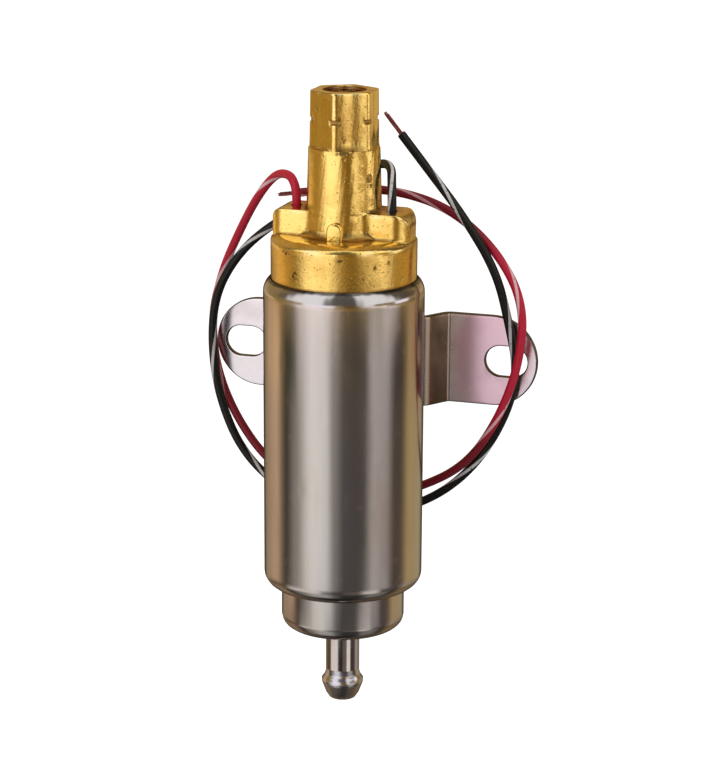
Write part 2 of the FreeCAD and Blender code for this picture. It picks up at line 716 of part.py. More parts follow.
def make_windings():
    """The coils: a rounded bundle of end turns at each end, joined through the slots."""
    outer = CORE_RADIUS - TOOTH_TIP

    def end_turns(foot, top, foot_radius, top_radius):
        return turned([
            (END_TURN_BORE_RADIUS, foot, foot_radius),
            (outer, foot, foot_radius),
            (outer, top, top_radius),
            (END_TURN_BORE_RADIUS, top, top_radius),
        ])

    lower = end_turns(CORE_FOOT - END_TURN_HEIGHT, CORE_FOOT, END_TURN_ROUND, 0)
    upper = end_turns(CORE_TOP, CORE_TOP + END_TURN_HEIGHT, 0, END_TURN_ROUND)
    bars = around(slot_cutter(SLIDING_FIT, CORE_FOOT, CORE_TOP), CORE_SLOTS)
    return lower.fuse([upper] + bars).removeSplitter()


def make_commutator_base():
    """The moulded carrier of the commutator's segments."""
    return turned([
        (SHAFT_RADIUS, COMMUTATOR_FOOT, 0),
        (COMMUTATOR_RADIUS, COMMUTATOR_FOOT, COMMUTATOR_EDGE_RADIUS),
        (COMMUTATOR_RADIUS, COMMUTATOR_FOOT + COMMUTATOR_BASE, 0),
        (SEGMENT_INNER_RADIUS - FIT, COMMUTATOR_FOOT + COMMUTATOR_BASE, 0),
        (SEGMENT_INNER_RADIUS - FIT, COMMUTATOR_FACE, COMMUTATOR_EDGE_RADIUS),
        (SHAFT_RADIUS, COMMUTATOR_FACE, 0),
    ])


def make_segments():
    """The copper segments that the brushes run on, one for each armature slot."""
    foot = COMMUTATOR_FACE - SEGMENT_THICKNESS
    face = ring(COMMUTATOR_RADIUS, SEGMENT_INNER_RADIUS, foot, COMMUTATOR_FACE)
    gap = block(COMMUTATOR_RADIUS, SEGMENT_GAP, foot, COMMUTATOR_FACE, COMMUTATOR_RADIUS / 2 + SEGMENT_GAP)
    return face.cut(Part.makeCompound(around(gap, CORE_SLOTS)))


def make_magnet(side):
    """A curved ferrite magnet; side is 1 at the back and -1 at the front."""
    foot = CORE_FOOT - MAGNET_OVERHANG
    top = CORE_TOP + MAGNET_OVERHANG
    return turned_about(arc_band(MAGNET_RADIUS, MAGNET_BORE, MAGNET_ARC, foot, top), 90.0 * side)


def make_magnet_clips():
    """The two spring clips that press the magnets apart against the flux ring."""
    foot = CORE_FOOT - MAGNET_OVERHANG
    top = CORE_TOP + MAGNET_OVERHANG
    free = 180.0 - MAGNET_ARC
    slack = math.degrees(2 * FIT / MAGNET_BORE)
    leg = math.degrees(CLIP_THICKNESS / MAGNET_BORE)
    outer = arc_band(MAGNET_RADIUS, MAGNET_RADIUS - CLIP_THICKNESS, free - slack, foot, top)
    side = arc_band(MAGNET_RADIUS, MAGNET_BORE + CLIP_THICKNESS / 2, leg, foot, top)
    turn = (free - slack - leg) / 2
    clip = outer.fuse([turned_about(side, turn), turned_about(side, -turn)])
    return Part.makeCompound([clip, turned_about(clip, 180.0)])


def sleeve_bore(side, foot, top, clearance=0.0):
    """The round space that a brush sleeve fills; side is -1 for the red lead's tower."""
    return rod(SLEEVE_RADIUS + clearance, foot, top, side * BRUSH_X)


def make_boss():
    """The outlet boss: a tapered stem with a tapered hexagon cut on its upper end."""
    groove = OUTLET_TOP - HEX_GROOVE_DROP
    half = HEX_GROOVE_WIDTH / 2
    flare = BOSS_FOOT_RADIUS + BOSS_FILLET + ROOT
    stem = turned([
        (0, DISC_TOP - ROOT, 0),
        (flare, DISC_TOP - ROOT, 0),
        (flare, DISC_TOP, 0),
        (BOSS_FOOT_RADIUS, DISC_TOP, BOSS_FILLET),
        (BOSS_NECK_RADIUS, HEX_FOOT, 0),
        (0, HEX_FOOT, 0),
    ])
    round_top = turned([
        (0, HEX_FOOT, 0),
        (HEX_FOOT_ROUND, HEX_FOOT, 0),
        (HEX_FOOT_ROUND, groove - half, 0),
        (HEX_GROOVE_RADIUS, groove - half + HEX_GROOVE_FLANK, 0),
        (HEX_GROOVE_RADIUS, groove + half - HEX_GROOVE_FLANK, 0),
        (HEX_TOP_ROUND, groove + half, 0),
        (HEX_TOP_ROUND, OUTLET_TOP, MOUTH_EDGE_RADIUS),
        (0, OUTLET_TOP, 0),
    ])
    return stem.fuse(round_top.common(hexagon()))


def hexagon():
    """The tapered hexagon of the boss, with one corner to the front."""

    def outline(flats, height):
        radius = flats / 2 / math.cos(math.radians(30))
        corners = []
        for corner in range(6):
            turn = math.radians(60 * corner - 90)
            corners.append(Vector(radius * math.cos(turn), radius * math.sin(turn), height))
        return Part.makePolygon(corners + corners[:1])

    return Part.makeLoft([outline(HEX_FOOT_FLATS, HEX_FOOT), outline(HEX_TOP_FLATS, OUTLET_TOP)], True, True)


def make_towers():
    """The bar with the two brush towers: round-cornered in plan, round-shouldered in front view."""
    half = TOWER_REACH
    foot = DISC_TOP - DISC_SLOPE_DROP - ROOT
    front = rounded_face([
        (-half, foot, 0),
        (half, foot, 0),
        (half, TOWER_TOP, TOWER_CORNER_RADIUS),
        (-half, TOWER_TOP, TOWER_CORNER_RADIUS),
    ], in_front)
    front.translate(Vector(0, -TOWER_WIDTH, 0))
    bar = front.extrude(Vector(0, 2 * TOWER_WIDTH, 0))
    side = TOWER_WIDTH / 2
    plan = rounded_face([
        (-half, -side, TOWER_END_ROUND),
        (half, -side, TOWER_END_ROUND),
        (half, side, TOWER_END_ROUND),
        (-half, side, TOWER_END_ROUND),
    ], in_plan)
    return bar.common(plan.extrude(UP * OUTLET_TOP))


def make_corner_webs():
    """The cast-in round corners between the boss and the flat sides of the towers."""
    side = TOWER_WIDTH / 2
    taper = (BOSS_FOOT_RADIUS - BOSS_NECK_RADIUS) / (HEX_FOOT - DISC_TOP)
    boss = BOSS_FOOT_RADIUS - taper * TOWER_HEIGHT - FIT
    across = math.sqrt((boss + TOWER_WEB_RADIUS) ** 2 - (side + TOWER_WEB_RADIUS) ** 2)
    centre = in_plan(across, -side - TOWER_WEB_RADIUS)
    on_tower = in_plan(across, -side)
    on_boss = centre * (boss / (boss + TOWER_WEB_RADIUS))
    middle = centre + ((on_tower - centre) + (on_boss - centre)).normalize() * TOWER_WEB_RADIUS
    edges = [
        Part.Arc(on_tower, middle, on_boss).toShape(),
        Part.LineSegment(on_boss, in_plan(on_boss.x, 0)).toShape(),
        Part.LineSegment(in_plan(on_boss.x, 0), in_plan(across, 0)).toShape(),
        Part.LineSegment(in_plan(across, 0), on_tower).toShape(),
    ]
    web = Part.Face(Part.Wire(edges)).extrude(UP * (TOWER_HEIGHT + ROOT))
    web.translate(UP * (DISC_TOP - ROOT))
    webs = []
    for mirrored in (web, web.mirror(Vector(0, 0, 0), Vector(1, 0, 0))):
        webs += [mirrored, mirrored.mirror(Vector(0, 0, 0), Vector(0, 1, 0))]
    return webs


def make_head():
    """The cast brass outlet head: flange, disc, brush towers, hexagon boss and all its bores."""
    shoulder = STACK_RADIUS - DISC_RADIUS
    seal_foot = HEAD_FOOT + (FLANGE_HEIGHT - SEAL_GROOVE_WIDTH) / 2
    seal_floor = BORE_RADIUS - SEAL_SECTION
    disc = turned([
        (0, HEAD_FOOT, 0),
        (STACK_RADIUS, HEAD_FOOT, FLANGE_EDGE_RADIUS),
        (STACK_RADIUS, seal_foot, 0),
        (seal_floor, seal_foot, 0),
        (seal_floor, seal_foot + SEAL_GROOVE_WIDTH, 0),
        (STACK_RADIUS, seal_foot + SEAL_GROOVE_WIDTH, 0),
        (STACK_RADIUS, FLANGE_TOP - FIT, 0),
        (DISC_RADIUS, FLANGE_TOP + shoulder - FIT, 0),
        (DISC_RADIUS, DISC_TOP - DISC_SLOPE_DROP, DISC_EDGE_RADIUS),
        (DISC_RADIUS - DISC_SLOPE_WIDTH, DISC_TOP, 0),
        (0, DISC_TOP, 0),
    ])
    nub_axis = DISC_TOP + NUB_HEIGHT - NUB_WIDTH / 2
    nub_front = BOSS_FOOT_RADIUS + NUB_REACH
    nub = Part.makeCylinder(NUB_WIDTH / 2, nub_front, Vector(0, 0, nub_axis), Vector(0, -1, 0))
    nub = nub.fuse(block(NUB_WIDTH, nub_front, DISC_TOP - ROOT, nub_axis, 0, -nub_front / 2))
    body = make_boss().fuse([make_towers()] + make_corner_webs())
    body = body.fuse([disc, turned_about(nub, NUB_ANGLE)]).removeSplitter()
    feed_back = BEARING_RADIUS + FEED_HOLE_WALL + FEED_HOLE_RADIUS
    bores = [
        rod(THREAD_RADIUS, THREAD_FOOT, OUTLET_TOP),
        Part.makeCone(THREAD_RADIUS, MOUTH_RADIUS, MOUTH_RADIUS - THREAD_RADIUS,
                      Vector(0, 0, OUTLET_TOP - MOUTH_RADIUS + THREAD_RADIUS)),
        rod(CHECK_BORE_RADIUS, CHECK_SEAT, THREAD_FOOT),
        rod(CHECK_SEAT_RADIUS, GALLERY_FOOT, CHECK_SEAT),
        rod(BEARING_RADIUS, HEAD_FOOT, UPPER_BEARING_TOP),
        block(2 * FEED_HOLE_RADIUS, 2 * feed_back, GALLERY_FOOT, GALLERY_TOP),
    ]
    for side in (-1, 1):
        bores.append(sleeve_bore(side, HEAD_FOOT, TOWER_CEILING, FIT))
        bores.append(rod(GROMMET_RADIUS, TOWER_CEILING, TOWER_TOP, side * LEAD_X))
        bores.append(rod(FEED_HOLE_RADIUS, HEAD_FOOT, GALLERY_TOP, 0, side * feed_back))
    for bore in bores:
        body = body.cut(bore)
    return body


def make_seal():
    """The ring seal between the head's flange and the shell."""
    radius = SEAL_SECTION / 2 - FIT
    return Part.makeTorus(BORE_RADIUS - SEAL_SECTION / 2, radius, Vector(0, 0, HEAD_FOOT + FLANGE_HEIGHT / 2))


def make_sleeve(side):
    """The insulating sleeve that guides a brush and keeps its terminal off the brass."""
    sleeve = sleeve_bore(side, HEAD_FOOT - SLEEVE_DROP, TOWER_CEILING)
    pocket = block(BRUSH_WIDTH + 2 * SLIDING_FIT, BRUSH_BREADTH + 2 * SLIDING_FIT,
                   HEAD_FOOT - SLEEVE_DROP, TERMINAL_TOP, side * BRUSH_X)
    sleeve = sleeve.cut(pocket)
    return sleeve.cut(rod(LEAD_DIAMETER / 2 + FIT, TERMINAL_TOP, TOWER_CEILING, side * LEAD_X))


def make_brush(side):
    """A carbon brush, standing on the commutator."""
    return block(BRUSH_WIDTH, BRUSH_BREADTH, BRUSH_FOOT, BRUSH_FOOT + BRUSH_LENGTH, side * BRUSH_X)


def make_terminal(side):
    """The brass plate at the top of a sleeve, which the spring and the lead meet."""
    width = BRUSH_WIDTH + 2 * SLIDING_FIT
    breadth = BRUSH_BREADTH + 2 * SLIDING_FIT
    return block(width, breadth, TERMINAL_TOP - TERMINAL_THICKNESS, TERMINAL_TOP, side * BRUSH_X)


def make_brush_spring(side, name):
    """The spring that presses a brush on the commutator."""
    return coil_spring(name, BRUSH_SPRING_RADIUS, BRUSH_WIRE, BRUSH_FOOT + BRUSH_LENGTH,
                       TERMINAL_TOP - TERMINAL_THICKNESS, BRUSH_SPRING_TURNS, side * BRUSH_X)


def make_grommet(side):
    """The rubber bush that seals a lead in the tower's roof."""
    bore = LEAD_DIAMETER / 2 + FIT
    return ring(GROMMET_RADIUS, bore, TOWER_CEILING, TOWER_TOP + GROMMET_STAND, side * LEAD_X)


def make_poppet():
    """The outlet check valve's poppet: a disc with a guide stem."""
    head_top = POPPET_FOOT + POPPET_HEAD
    stem_top = CAGE_FOOT + POPPET_STEM_ENTRY
    return turned([
        (0, POPPET_FOOT, 0),
        (POPPET_RADIUS, POPPET_FOOT, POPPET_EDGE_RADIUS),
        (POPPET_RADIUS, head_top, POPPET_EDGE_RADIUS),
        (POPPET_STEM_RADIUS, head_top, 0),
        (POPPET_STEM_RADIUS, stem_top, POPPET_EDGE_RADIUS),
        (0, stem_top, 0),
    ])


def make_cage():
    """The spoked ring that guides the poppet's stem and holds its spring."""
    bore = POPPET_STEM_RADIUS + SLIDING_FIT
    reach = CHECK_BORE_RADIUS - CAGE_WALL / 2
    rim = ring(CHECK_BORE_RADIUS, CHECK_BORE_RADIUS - CAGE_WALL, CAGE_FOOT, CAGE_TOP)
    hub = rod(bore + CAGE_WALL, CAGE_FOOT, CAGE_TOP)
    spoke = block(reach, SPOKE_WIDTH, CAGE_FOOT, CAGE_TOP, reach / 2)
    cage = rim.fuse([hub] + around(spoke, SPOKES, 90.0))
    return cage.cut(rod(bore, CAGE_FOOT, CAGE_TOP))


def make_check_spring():
    """The spring that closes the outlet check valve."""
    return coil_spring("check_spring", CHECK_SPRING_RADIUS, CHECK_WIRE, POPPET_FOOT + POPPET_HEAD,
                       CAGE_FOOT, CHECK_TURNS)


def make_relief_poppet():
    """The relief valve's plunger, pressed up against the outlet plate."""
    return rod(RELIEF_BORE_RADIUS - SLIDING_FIT, RELIEF_POPPET_FOOT, RELIEF_POPPET_TOP, RELIEF_X)


def make_relief_plug():
    """The vented plug that the relief spring stands on."""
    return ring(RELIEF_BORE_RADIUS, RELIEF_VENT_RADIUS, RELIEF_PLUG_FOOT, RELIEF_PLUG_TOP, RELIEF_X)


def make_relief_spring():
    """The spring that closes the relief valve."""
    return coil_spring("relief_spring", RELIEF_SPRING_RADIUS, RELIEF_WIRE, RELIEF_PLUG_TOP,
                       RELIEF_POPPET_FOOT, RELIEF_TURNS, RELIEF_X)


def offset_path(points, distance):
    """The same open path, moved sideways to its left by distance, with mitred corners."""
    moved = []
    for index, point in enumerate(points):
        headings = []
        if index > 0:
            headings.append((point - points[index - 1]).normalize())
        if index < len(points) - 1:
            headings.append((points[index + 1] - point).normalize())
        normals = [Vector(-heading.y, heading.x, 0) for heading in headings]
        total = normals[0] + normals[-1]
        moved.append(point + total * (distance / (1 + normals[0].dot(normals[-1]))))
    return moved


def make_bracket():
    """The mounting strap: a flat web on the shell, slanted legs and two slotted round ears."""
    path = [
        in_plan(-BRACKET_HALF_LENGTH, BRACKET_FRONT),
        in_plan(-BRACKET_KNEE_HALF, BRACKET_FRONT),
        in_plan(-BRACKET_WEB_HALF, SHELL_RADIUS),
        in_plan(BRACKET_WEB_HALF, SHELL_RADIUS),
        in_plan(BRACKET_KNEE_HALF, BRACKET_FRONT),
        in_plan(BRACKET_HALF_LENGTH, BRACKET_FRONT),
    ]
    tight = BRACKET_BEND_RADIUS
    wide = BRACKET_BEND_RADIUS + BRACKET_THICKNESS
    front_radii = [0, tight, wide, wide, tight, 0]
    back_radii = [0, wide, tight, tight, wide, 0]
    corners = [(point.x, point.y, radius) for point, radius in zip(path, front_radii)]
    back = zip(offset_path(path, BRACKET_THICKNESS), back_radii)
    corners += [(point.x, point.y, radius) for point, radius in reversed(list(back))]
    strap = rounded_face(corners, in_plan).extrude(UP * BRACKET_HEIGHT)
    strap.translate(UP * (BRACKET_CENTRE_HEIGHT - BRACKET_HEIGHT / 2))
    through = Vector(0, 2 * BRACKET_BACK, 0)
    ends = lengthwise_slot(2 * BRACKET_HALF_LENGTH, BRACKET_HEIGHT, in_front, through)
    ends.translate(UP * BRACKET_CENTRE_HEIGHT)
    strap = strap.common(ends)
    for side in (-1, 1):
        slot = lengthwise_slot(MOUNT_SLOT_LENGTH, MOUNT_SLOT_WIDTH, in_front, through)
        slot.translate(Vector(side * SLOT_SPACING / 2, 0, BRACKET_CENTRE_HEIGHT))
        strap = strap.cut(slot)
    return strap


def make_parts():
    """Every piece of the pump by name, in the order from the inlet to the outlet."""
    parts = {
        "pump_shell": make_shell(),
        "inlet_nipple": make_nipple(),
        "strainer_frame": make_strainer_frame(),
        "inlet_screen": make_screen(),
        "inlet_plate": make_inlet_plate(),
        "thrust_button": rod(SHAFT_RADIUS, THRUST_FLOOR, THRUST_FLOOR + THRUST_BUTTON_THICKNESS),
        "pump_ring": make_pump_ring(),
        "outer_rotor": make_outer_rotor(),
        "inner_rotor": make_inner_rotor(),
        "outlet_plate": make_outlet_plate(),
        "relief_plug": make_relief_plug(),
        "relief_spring": make_relief_spring(),
        "relief_poppet": make_relief_poppet(),
        "lower_bearing": ring(BEARING_RADIUS, SHAFT_RADIUS + RUNNING_FIT,
                              LOWER_HUB_TOP - BEARING_LENGTH, LOWER_HUB_TOP),
        "flux_ring": ring(STACK_RADIUS, FLUX_BORE, PLATE_TOP, HEAD_FOOT),
        "front_magnet": make_magnet(-1),
        "rear_magnet": make_magnet(1),
        "magnet_clips": make_magnet_clips(),
        "armature_shaft": make_shaft(),
        "armature_core": make_core(),
        "armature_windings": make_windings(),
        "commutator_base": make_commutator_base(),
        "commutator_segments": make_segments(),
        "upper_bearing": ring(BEARING_RADIUS, SHAFT_RADIUS + RUNNING_FIT,
                              UPPER_BEARING_FOOT, UPPER_BEARING_TOP),
        "outlet_head": make_head(),
        "head_seal": make_seal(),
        "check_poppet": make_poppet(),
        "check_spring": make_check_spring(),
        "check_cage": make_cage(),
        "mounting_bracket": make_bracket(),
        "red_lead": lead_tube("red_lead", RED_ROUTE, LEAD_DIAMETER),
        "black_lead": lead_tube("black_lead", BLACK_ROUTE, LEAD_DIAMETER),
        "red_lead_strands": strand_end(RED_ROUTE, RED_STRAND_LENGTH),
        "black_lead_strands": strand_end(BLACK_ROUTE, BLACK_STRAND_LENGTH),
    }
    for side, colour in ((-1, "red"), (1, "black")):
        parts[colour + "_brush"] = make_brush(side)
        parts[colour + "_brush_spring"] = make_brush_spring(side, colour + "_brush_spring")
        parts[colour + "_brush_sleeve"] = make_sleeve(side)
        parts[colour + "_brush_terminal"] = make_terminal(side)
        parts[colour + "_lead_grommet"] = make_grommet(side)
    return parts


os.makedirs("parts", exist_ok=True)
for node, shape in make_parts().items():
    if len(shape.Solids) == 1:
        shape = shape.Solids[0]
    if not shape.isValid():
        print("not valid:", node)
    shape.translate(-ORIGIN)
    shape.exportStep("parts/" + node + ".step")
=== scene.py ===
"""Electric fuel pump: the visual model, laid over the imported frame.

Lengths inside the shape functions are millimetres about the pump's own axis, with height 0 at the tip of
the inlet nipple. in_frame() takes them to the frame's metres.
"""

import json
import math

import bmesh
import bpy
import numpy as np
from mathutils import Matrix, Vector


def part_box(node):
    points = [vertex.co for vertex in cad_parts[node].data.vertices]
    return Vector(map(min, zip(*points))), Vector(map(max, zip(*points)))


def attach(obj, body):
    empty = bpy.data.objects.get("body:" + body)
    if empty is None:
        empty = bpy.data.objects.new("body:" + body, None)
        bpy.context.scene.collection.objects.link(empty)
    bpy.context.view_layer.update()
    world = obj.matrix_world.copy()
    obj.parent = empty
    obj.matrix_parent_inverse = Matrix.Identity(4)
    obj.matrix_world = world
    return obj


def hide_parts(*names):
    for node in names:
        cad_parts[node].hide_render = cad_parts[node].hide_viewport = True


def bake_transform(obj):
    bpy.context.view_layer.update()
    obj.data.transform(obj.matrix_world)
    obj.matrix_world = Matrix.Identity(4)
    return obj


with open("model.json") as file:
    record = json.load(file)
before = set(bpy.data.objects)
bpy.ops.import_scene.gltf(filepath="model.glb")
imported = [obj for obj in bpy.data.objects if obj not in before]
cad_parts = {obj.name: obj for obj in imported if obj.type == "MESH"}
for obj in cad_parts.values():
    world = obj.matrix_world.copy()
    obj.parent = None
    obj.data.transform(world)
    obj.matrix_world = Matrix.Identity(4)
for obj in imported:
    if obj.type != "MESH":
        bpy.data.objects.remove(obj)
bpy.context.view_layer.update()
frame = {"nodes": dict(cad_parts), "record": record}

bl_info = {
    "name": "Electric Fuel Pump",
    "version": (1, 0, 0),
    "blender": (4, 5, 0),
    "location": "3D View > Sidebar > Fuel Pump",
    "description": "Builds the pump's can, nipple, brass head, bracket, leads and studio",
    "category": "Object",
}

SHELL_LOW, SHELL_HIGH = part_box("pump_shell")
ORIGIN = np.array([
    (SHELL_LOW.x + SHELL_HIGH.x) / 2,
    (SHELL_LOW.y + SHELL_HIGH.y) / 2,
    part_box("inlet_nipple")[0].z,
])
MM = 0.001
TURN = 2 * math.pi
HOUSING = "housing"

# Heights about the pump axis, in millimetres, from the inlet up
CUP_FOOT = 19.4
SHELL_FOOT = 30.1
LIP_FOOT = 102.2
SHELL_TOP = 105.5
HEAD_FOOT = 96.0
DISC_TOP = 116.0
TOWER_TOP = 121.9
CHECK_SEAT = 124.0
HEX_FOOT = 136.4
THREAD_FOOT = 139.4
GROOVE_HEIGHT = 143.0
HEAD_TOP = 149.7
BRACKET_CENTRE = 81.2

# Distance of each lead's hole from the axis
LEAD_X = 11.6

# The leads' routes: the part's, moved by up to a millimetre to follow the photograph
RED_ROUTE = [
    (-11.6, 0.0, 119.0), (-11.6, 0.0, 122.8), (-12.1, 0.4, 126.6), (-14.6, 3.4, 128.5), (-19.6, 8.0, 127.5),
    (-26.1, 13.4, 120.6), (-32.6, 18.8, 110.8), (-38.7, 22.6, 99.5), (-42.2, 23.8, 86.9),
    (-40.8, 23.5, 73.7), (-35.2, 22.7, 61.5), (-26.8, 22.6, 50.8), (-14.8, 22.6, 44.4), (-1.2, 22.6, 43.6),
    (12.3, 22.4, 47.6), (25.0, 21.6, 55.2), (33.1, 20.8, 68.1), (38.0, 20.6, 82.6), (38.6, 20.9, 97.4),
    (31.3, 21.6, 109.7), (19.8, 20.8, 119.4), (6.6, 15.8, 124.0), (-6.4, 13.0, 123.6), (-15.6, 11.8, 122.4),
]
BLACK_ROUTE = [
    (11.6, 0.0, 119.0), (11.6, 0.0, 123.8), (11.3, 0.6, 128.6), (9.9, 5.2, 131.2), (6.0, 10.6, 131.3),
    (-2.4, 15.6, 126.8), (-12.6, 17.9, 119.2), (-23.3, 18.2, 113.6), (-32.8, 18.6, 105.4),
    (-39.5, 19.4, 94.2), (-41.0, 20.4, 80.6), (-39.4, 21.4, 66.9), (-33.9, 22.2, 53.2), (-23.4, 22.6, 43.8),
    (-9.8, 22.8, 39.8), (4.4, 22.8, 40.4), (17.2, 22.8, 45.8), (27.4, 23.0, 55.4), (34.4, 23.5, 68.4),
    (36.8, 23.6, 79.6), (34.7, 22.7, 91.0), (31.8, 20.4, 104.6), (24.2, 17.0, 118.4), (15.5, 14.3, 130.3),
    (10.1, 12.2, 138.0),
]

# Each lead: its route, its whole length in metres, and its bare strands in millimetres
LEADS = {
    "red": (RED_ROUTE, 0.2748, 4.6),
    "black": (BLACK_ROUTE, 0.2877, 6.4),
}

# The camera, about the pump axis: how far it stands to the right, its tilt, how far off and how high
CAMERA_TURN = math.radians(17.0)
FRONT_FLAT = CAMERA_TURN + math.radians(13.0 - 90.0)  # the hexagon's flat that faces the camera
CAMERA_PITCH = math.radians(15.4585)
CAMERA_ROLL = math.radians(0.28)
CAMERA_DISTANCE = 550.0
CAMERA_HEIGHT = 230.5
CAMERA_SIDESTEP = 2.6
CAMERA_LENS = 111.38


def length_property(label, words, default):
    """A length in metres that a user may change."""
    return bpy.props.FloatProperty(
        name=label, description=words, default=default, min=0.0, precision=5,
        unit="LENGTH", subtype="DISTANCE")


def colour_property(label, words, default):
    """A linear colour that a user may change."""
    return bpy.props.FloatVectorProperty(
        name=label, description=words, default=default, size=3, min=0.0, max=1.0, subtype="COLOR")


class PumpSizes(bpy.types.PropertyGroup):
    """Sizes of the dressed pieces; the defaults are those of the frame."""

    shell_radius: length_property("Shell radius", "Outside radius of the drawn can",
                                  (SHELL_HIGH.x - SHELL_LOW.x) / 2)
    shell_wall: length_property("Shell wall", "Thickness of the can's sheet", 1.2 * MM)
    cup_radius: length_property("Cup radius", "Outside radius of the narrower inlet cup", 14.85 * MM)
    nipple_radius: length_property("Nipple radius", "Outside radius of the hose nipple", 4.1 * MM)
    bead_radius: length_property("Bead radius", "Outside radius of the nipple's bead", 5.1 * MM)
    disc_radius: length_property("Disc radius", "Radius of the brass disc above the can", 17.2 * MM)
    boss_foot_radius: length_property("Boss foot radius", "Radius of the outlet boss at the disc", 9.0 * MM)
    boss_neck_radius: length_property("Boss neck radius", "Radius of the boss below the hexagon", 8.35 * MM)
    hex_flats: length_property("Across flats", "Width of the hexagon across flats at its top", 14.4 * MM)
    tower_width: length_property("Tower width", "Width of the two brush towers", 11.6 * MM)
    tower_reach: length_property("Tower reach", "Distance from the axis to a tower's end", 16.7 * MM)
    cast_waviness: length_property("Cast waviness", "How far the cast skin wanders in and out", 0.05 * MM)
    bracket_thickness: length_property("Bracket thickness", "Thickness of the bracket's strap", 1.6 * MM)
    ear_reach: length_property("Ear reach", "Distance from the axis to the end of an ear",
                               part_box("mounting_bracket")[1].x)
    lead_diameter: length_property("Lead diameter", "Outside diameter of a lead", 2.1 * MM)
    red_stripe_pitch: length_property("Red stripe pitch", "Length of one turn of the red lead's stripe",
                                      33.5 * MM)
    black_stripe_pitch: length_property("Black stripe pitch", "Length of one turn of the black lead's stripe",
                                        36.8 * MM)
    strand_diameter: length_property("Strand bundle", "Diameter of the bare copper bundle", 1.05 * MM)


class PumpColours(bpy.types.PropertyGroup):
    """Colours of the finishes, in linear light."""

    shell: colour_property("Shell", "Plated steel of the can", (0.63, 0.575, 0.53))
    nipple: colour_property("Nipple", "Turned and plated steel", (0.66, 0.60, 0.555))
    bracket: colour_property("Bracket", "Passivated zinc plating", (0.84, 0.78, 0.79))
    bracket_tint: colour_property("Bracket tint", "Pink cast of the passivation", (0.80, 0.55, 0.63))
    brass: colour_property("Brass", "Clean cast brass", (1.0, 0.72, 0.21))
    tarnish: colour_property("Tarnish", "Brown film on the brass", (0.68, 0.36, 0.06))
    red: colour_property("Red insulation", "Insulation of the positive lead", (0.44, 0.004, 0.028))
    black: colour_property("Black insulation", "Insulation of the earth lead", (0.006, 0.0065, 0.006))
    stripe: colour_property("Stripe", "Tracer printed round the black lead", (0.50, 0.48, 0.48))
    red_stripe: colour_property("Red lead's stripe", "Tracer printed round the red lead", (0.66, 0.40, 0.42))


# Shapes


def in_frame(points):
    """Millimetres about the pump axis, as the frame's metres: points times a thousandth, plus the origin."""
    return np.asarray(points, float) * MM + ORIGIN


def smooth_step(value, low, high):
    """3 t^2 - 2 t^3 of the value's share t between low and high."""
    share = np.clip((value - low) / (high - low), 0.0, 1.0)
    return share * share * (3 - 2 * share)


def rounded_outline(corners, steps=6):
    """A closed outline of (u, v, radius) corners whose corners are tangent arcs.

    An arc touches both sides at radius / tan(half the corner's angle) from the corner. Its centre lies on
    the corner's bisector at radius / sin(half angle), and a point of it is the centre plus the start and end
    radii weighted by sin((1 - t) sweep) / sin(sweep) and sin(t sweep) / sin(sweep).
    """
    corner = np.array([entry[:2] for entry in corners], float)
    radius = np.array([entry[2] for entry in corners], float)[:, None]
    back = np.roll(corner, 1, axis=0) - corner
    ahead = np.roll(corner, -1, axis=0) - corner
    back /= np.linalg.norm(back, axis=1, keepdims=True)
    ahead /= np.linalg.norm(ahead, axis=1, keepdims=True)
    half = np.arccos(np.clip((back * ahead).sum(1, keepdims=True), -1, 1)) / 2
    bisector = back + ahead
    bisector /= np.maximum(np.linalg.norm(bisector, axis=1, keepdims=True), 1e-9)
    centre = corner + bisector * radius / np.sin(half)
    start = corner + back * radius / np.tan(half) - centre
    end = corner + ahead * radius / np.tan(half) - centre
    sweep = np.maximum(math.pi - 2 * half, 1e-6)[:, None]
    share = np.linspace(0, 1, steps + 1)[None, :, None]
    weight_start = np.sin((1 - share) * sweep) / np.sin(sweep)
    weight_end = np.sin(share * sweep) / np.sin(sweep)
    arcs = centre[:, None] + weight_start * start[:, None] + weight_end * end[:, None]
    points = arcs.reshape(-1, 2)
    moved = np.linalg.norm(points - np.roll(points, 1, axis=0), axis=1)
    return points[moved > 1e-4]


def divided(outline, spacing):
    """The same closed outline with points at most spacing apart along it."""
    closed = np.vstack([outline, outline[:1]])
    along = np.concatenate([[0], np.cumsum(np.linalg.norm(np.diff(closed, axis=0), axis=1))])
    places = np.sort(np.concatenate([along, np.arange(0, along[-1], spacing)]))
    places = places[np.concatenate([[True], np.diff(places) > spacing * 0.2])]
    places = places[places < along[-1] - spacing * 0.1]
    return np.stack([np.interp(places, along, closed[:, 0]), np.interp(places, along, closed[:, 1])], -1)


def turned_grid(outline, columns, wander=None):
    """A surface of revolution: (r cos a, r sin a, h) for each outline point (r, h) and angle a.

    wander(a, h) is added to r.
    """
    angle = np.linspace(0, TURN, columns, endpoint=False)[None, :]
    radius = outline[:, :1] + 0 * angle
    height = outline[:, 1:] + 0 * angle
    if wander is not None:
        radius = radius + wander(angle, height)
    return np.stack([radius * np.cos(angle), radius * np.sin(angle), height], -1)


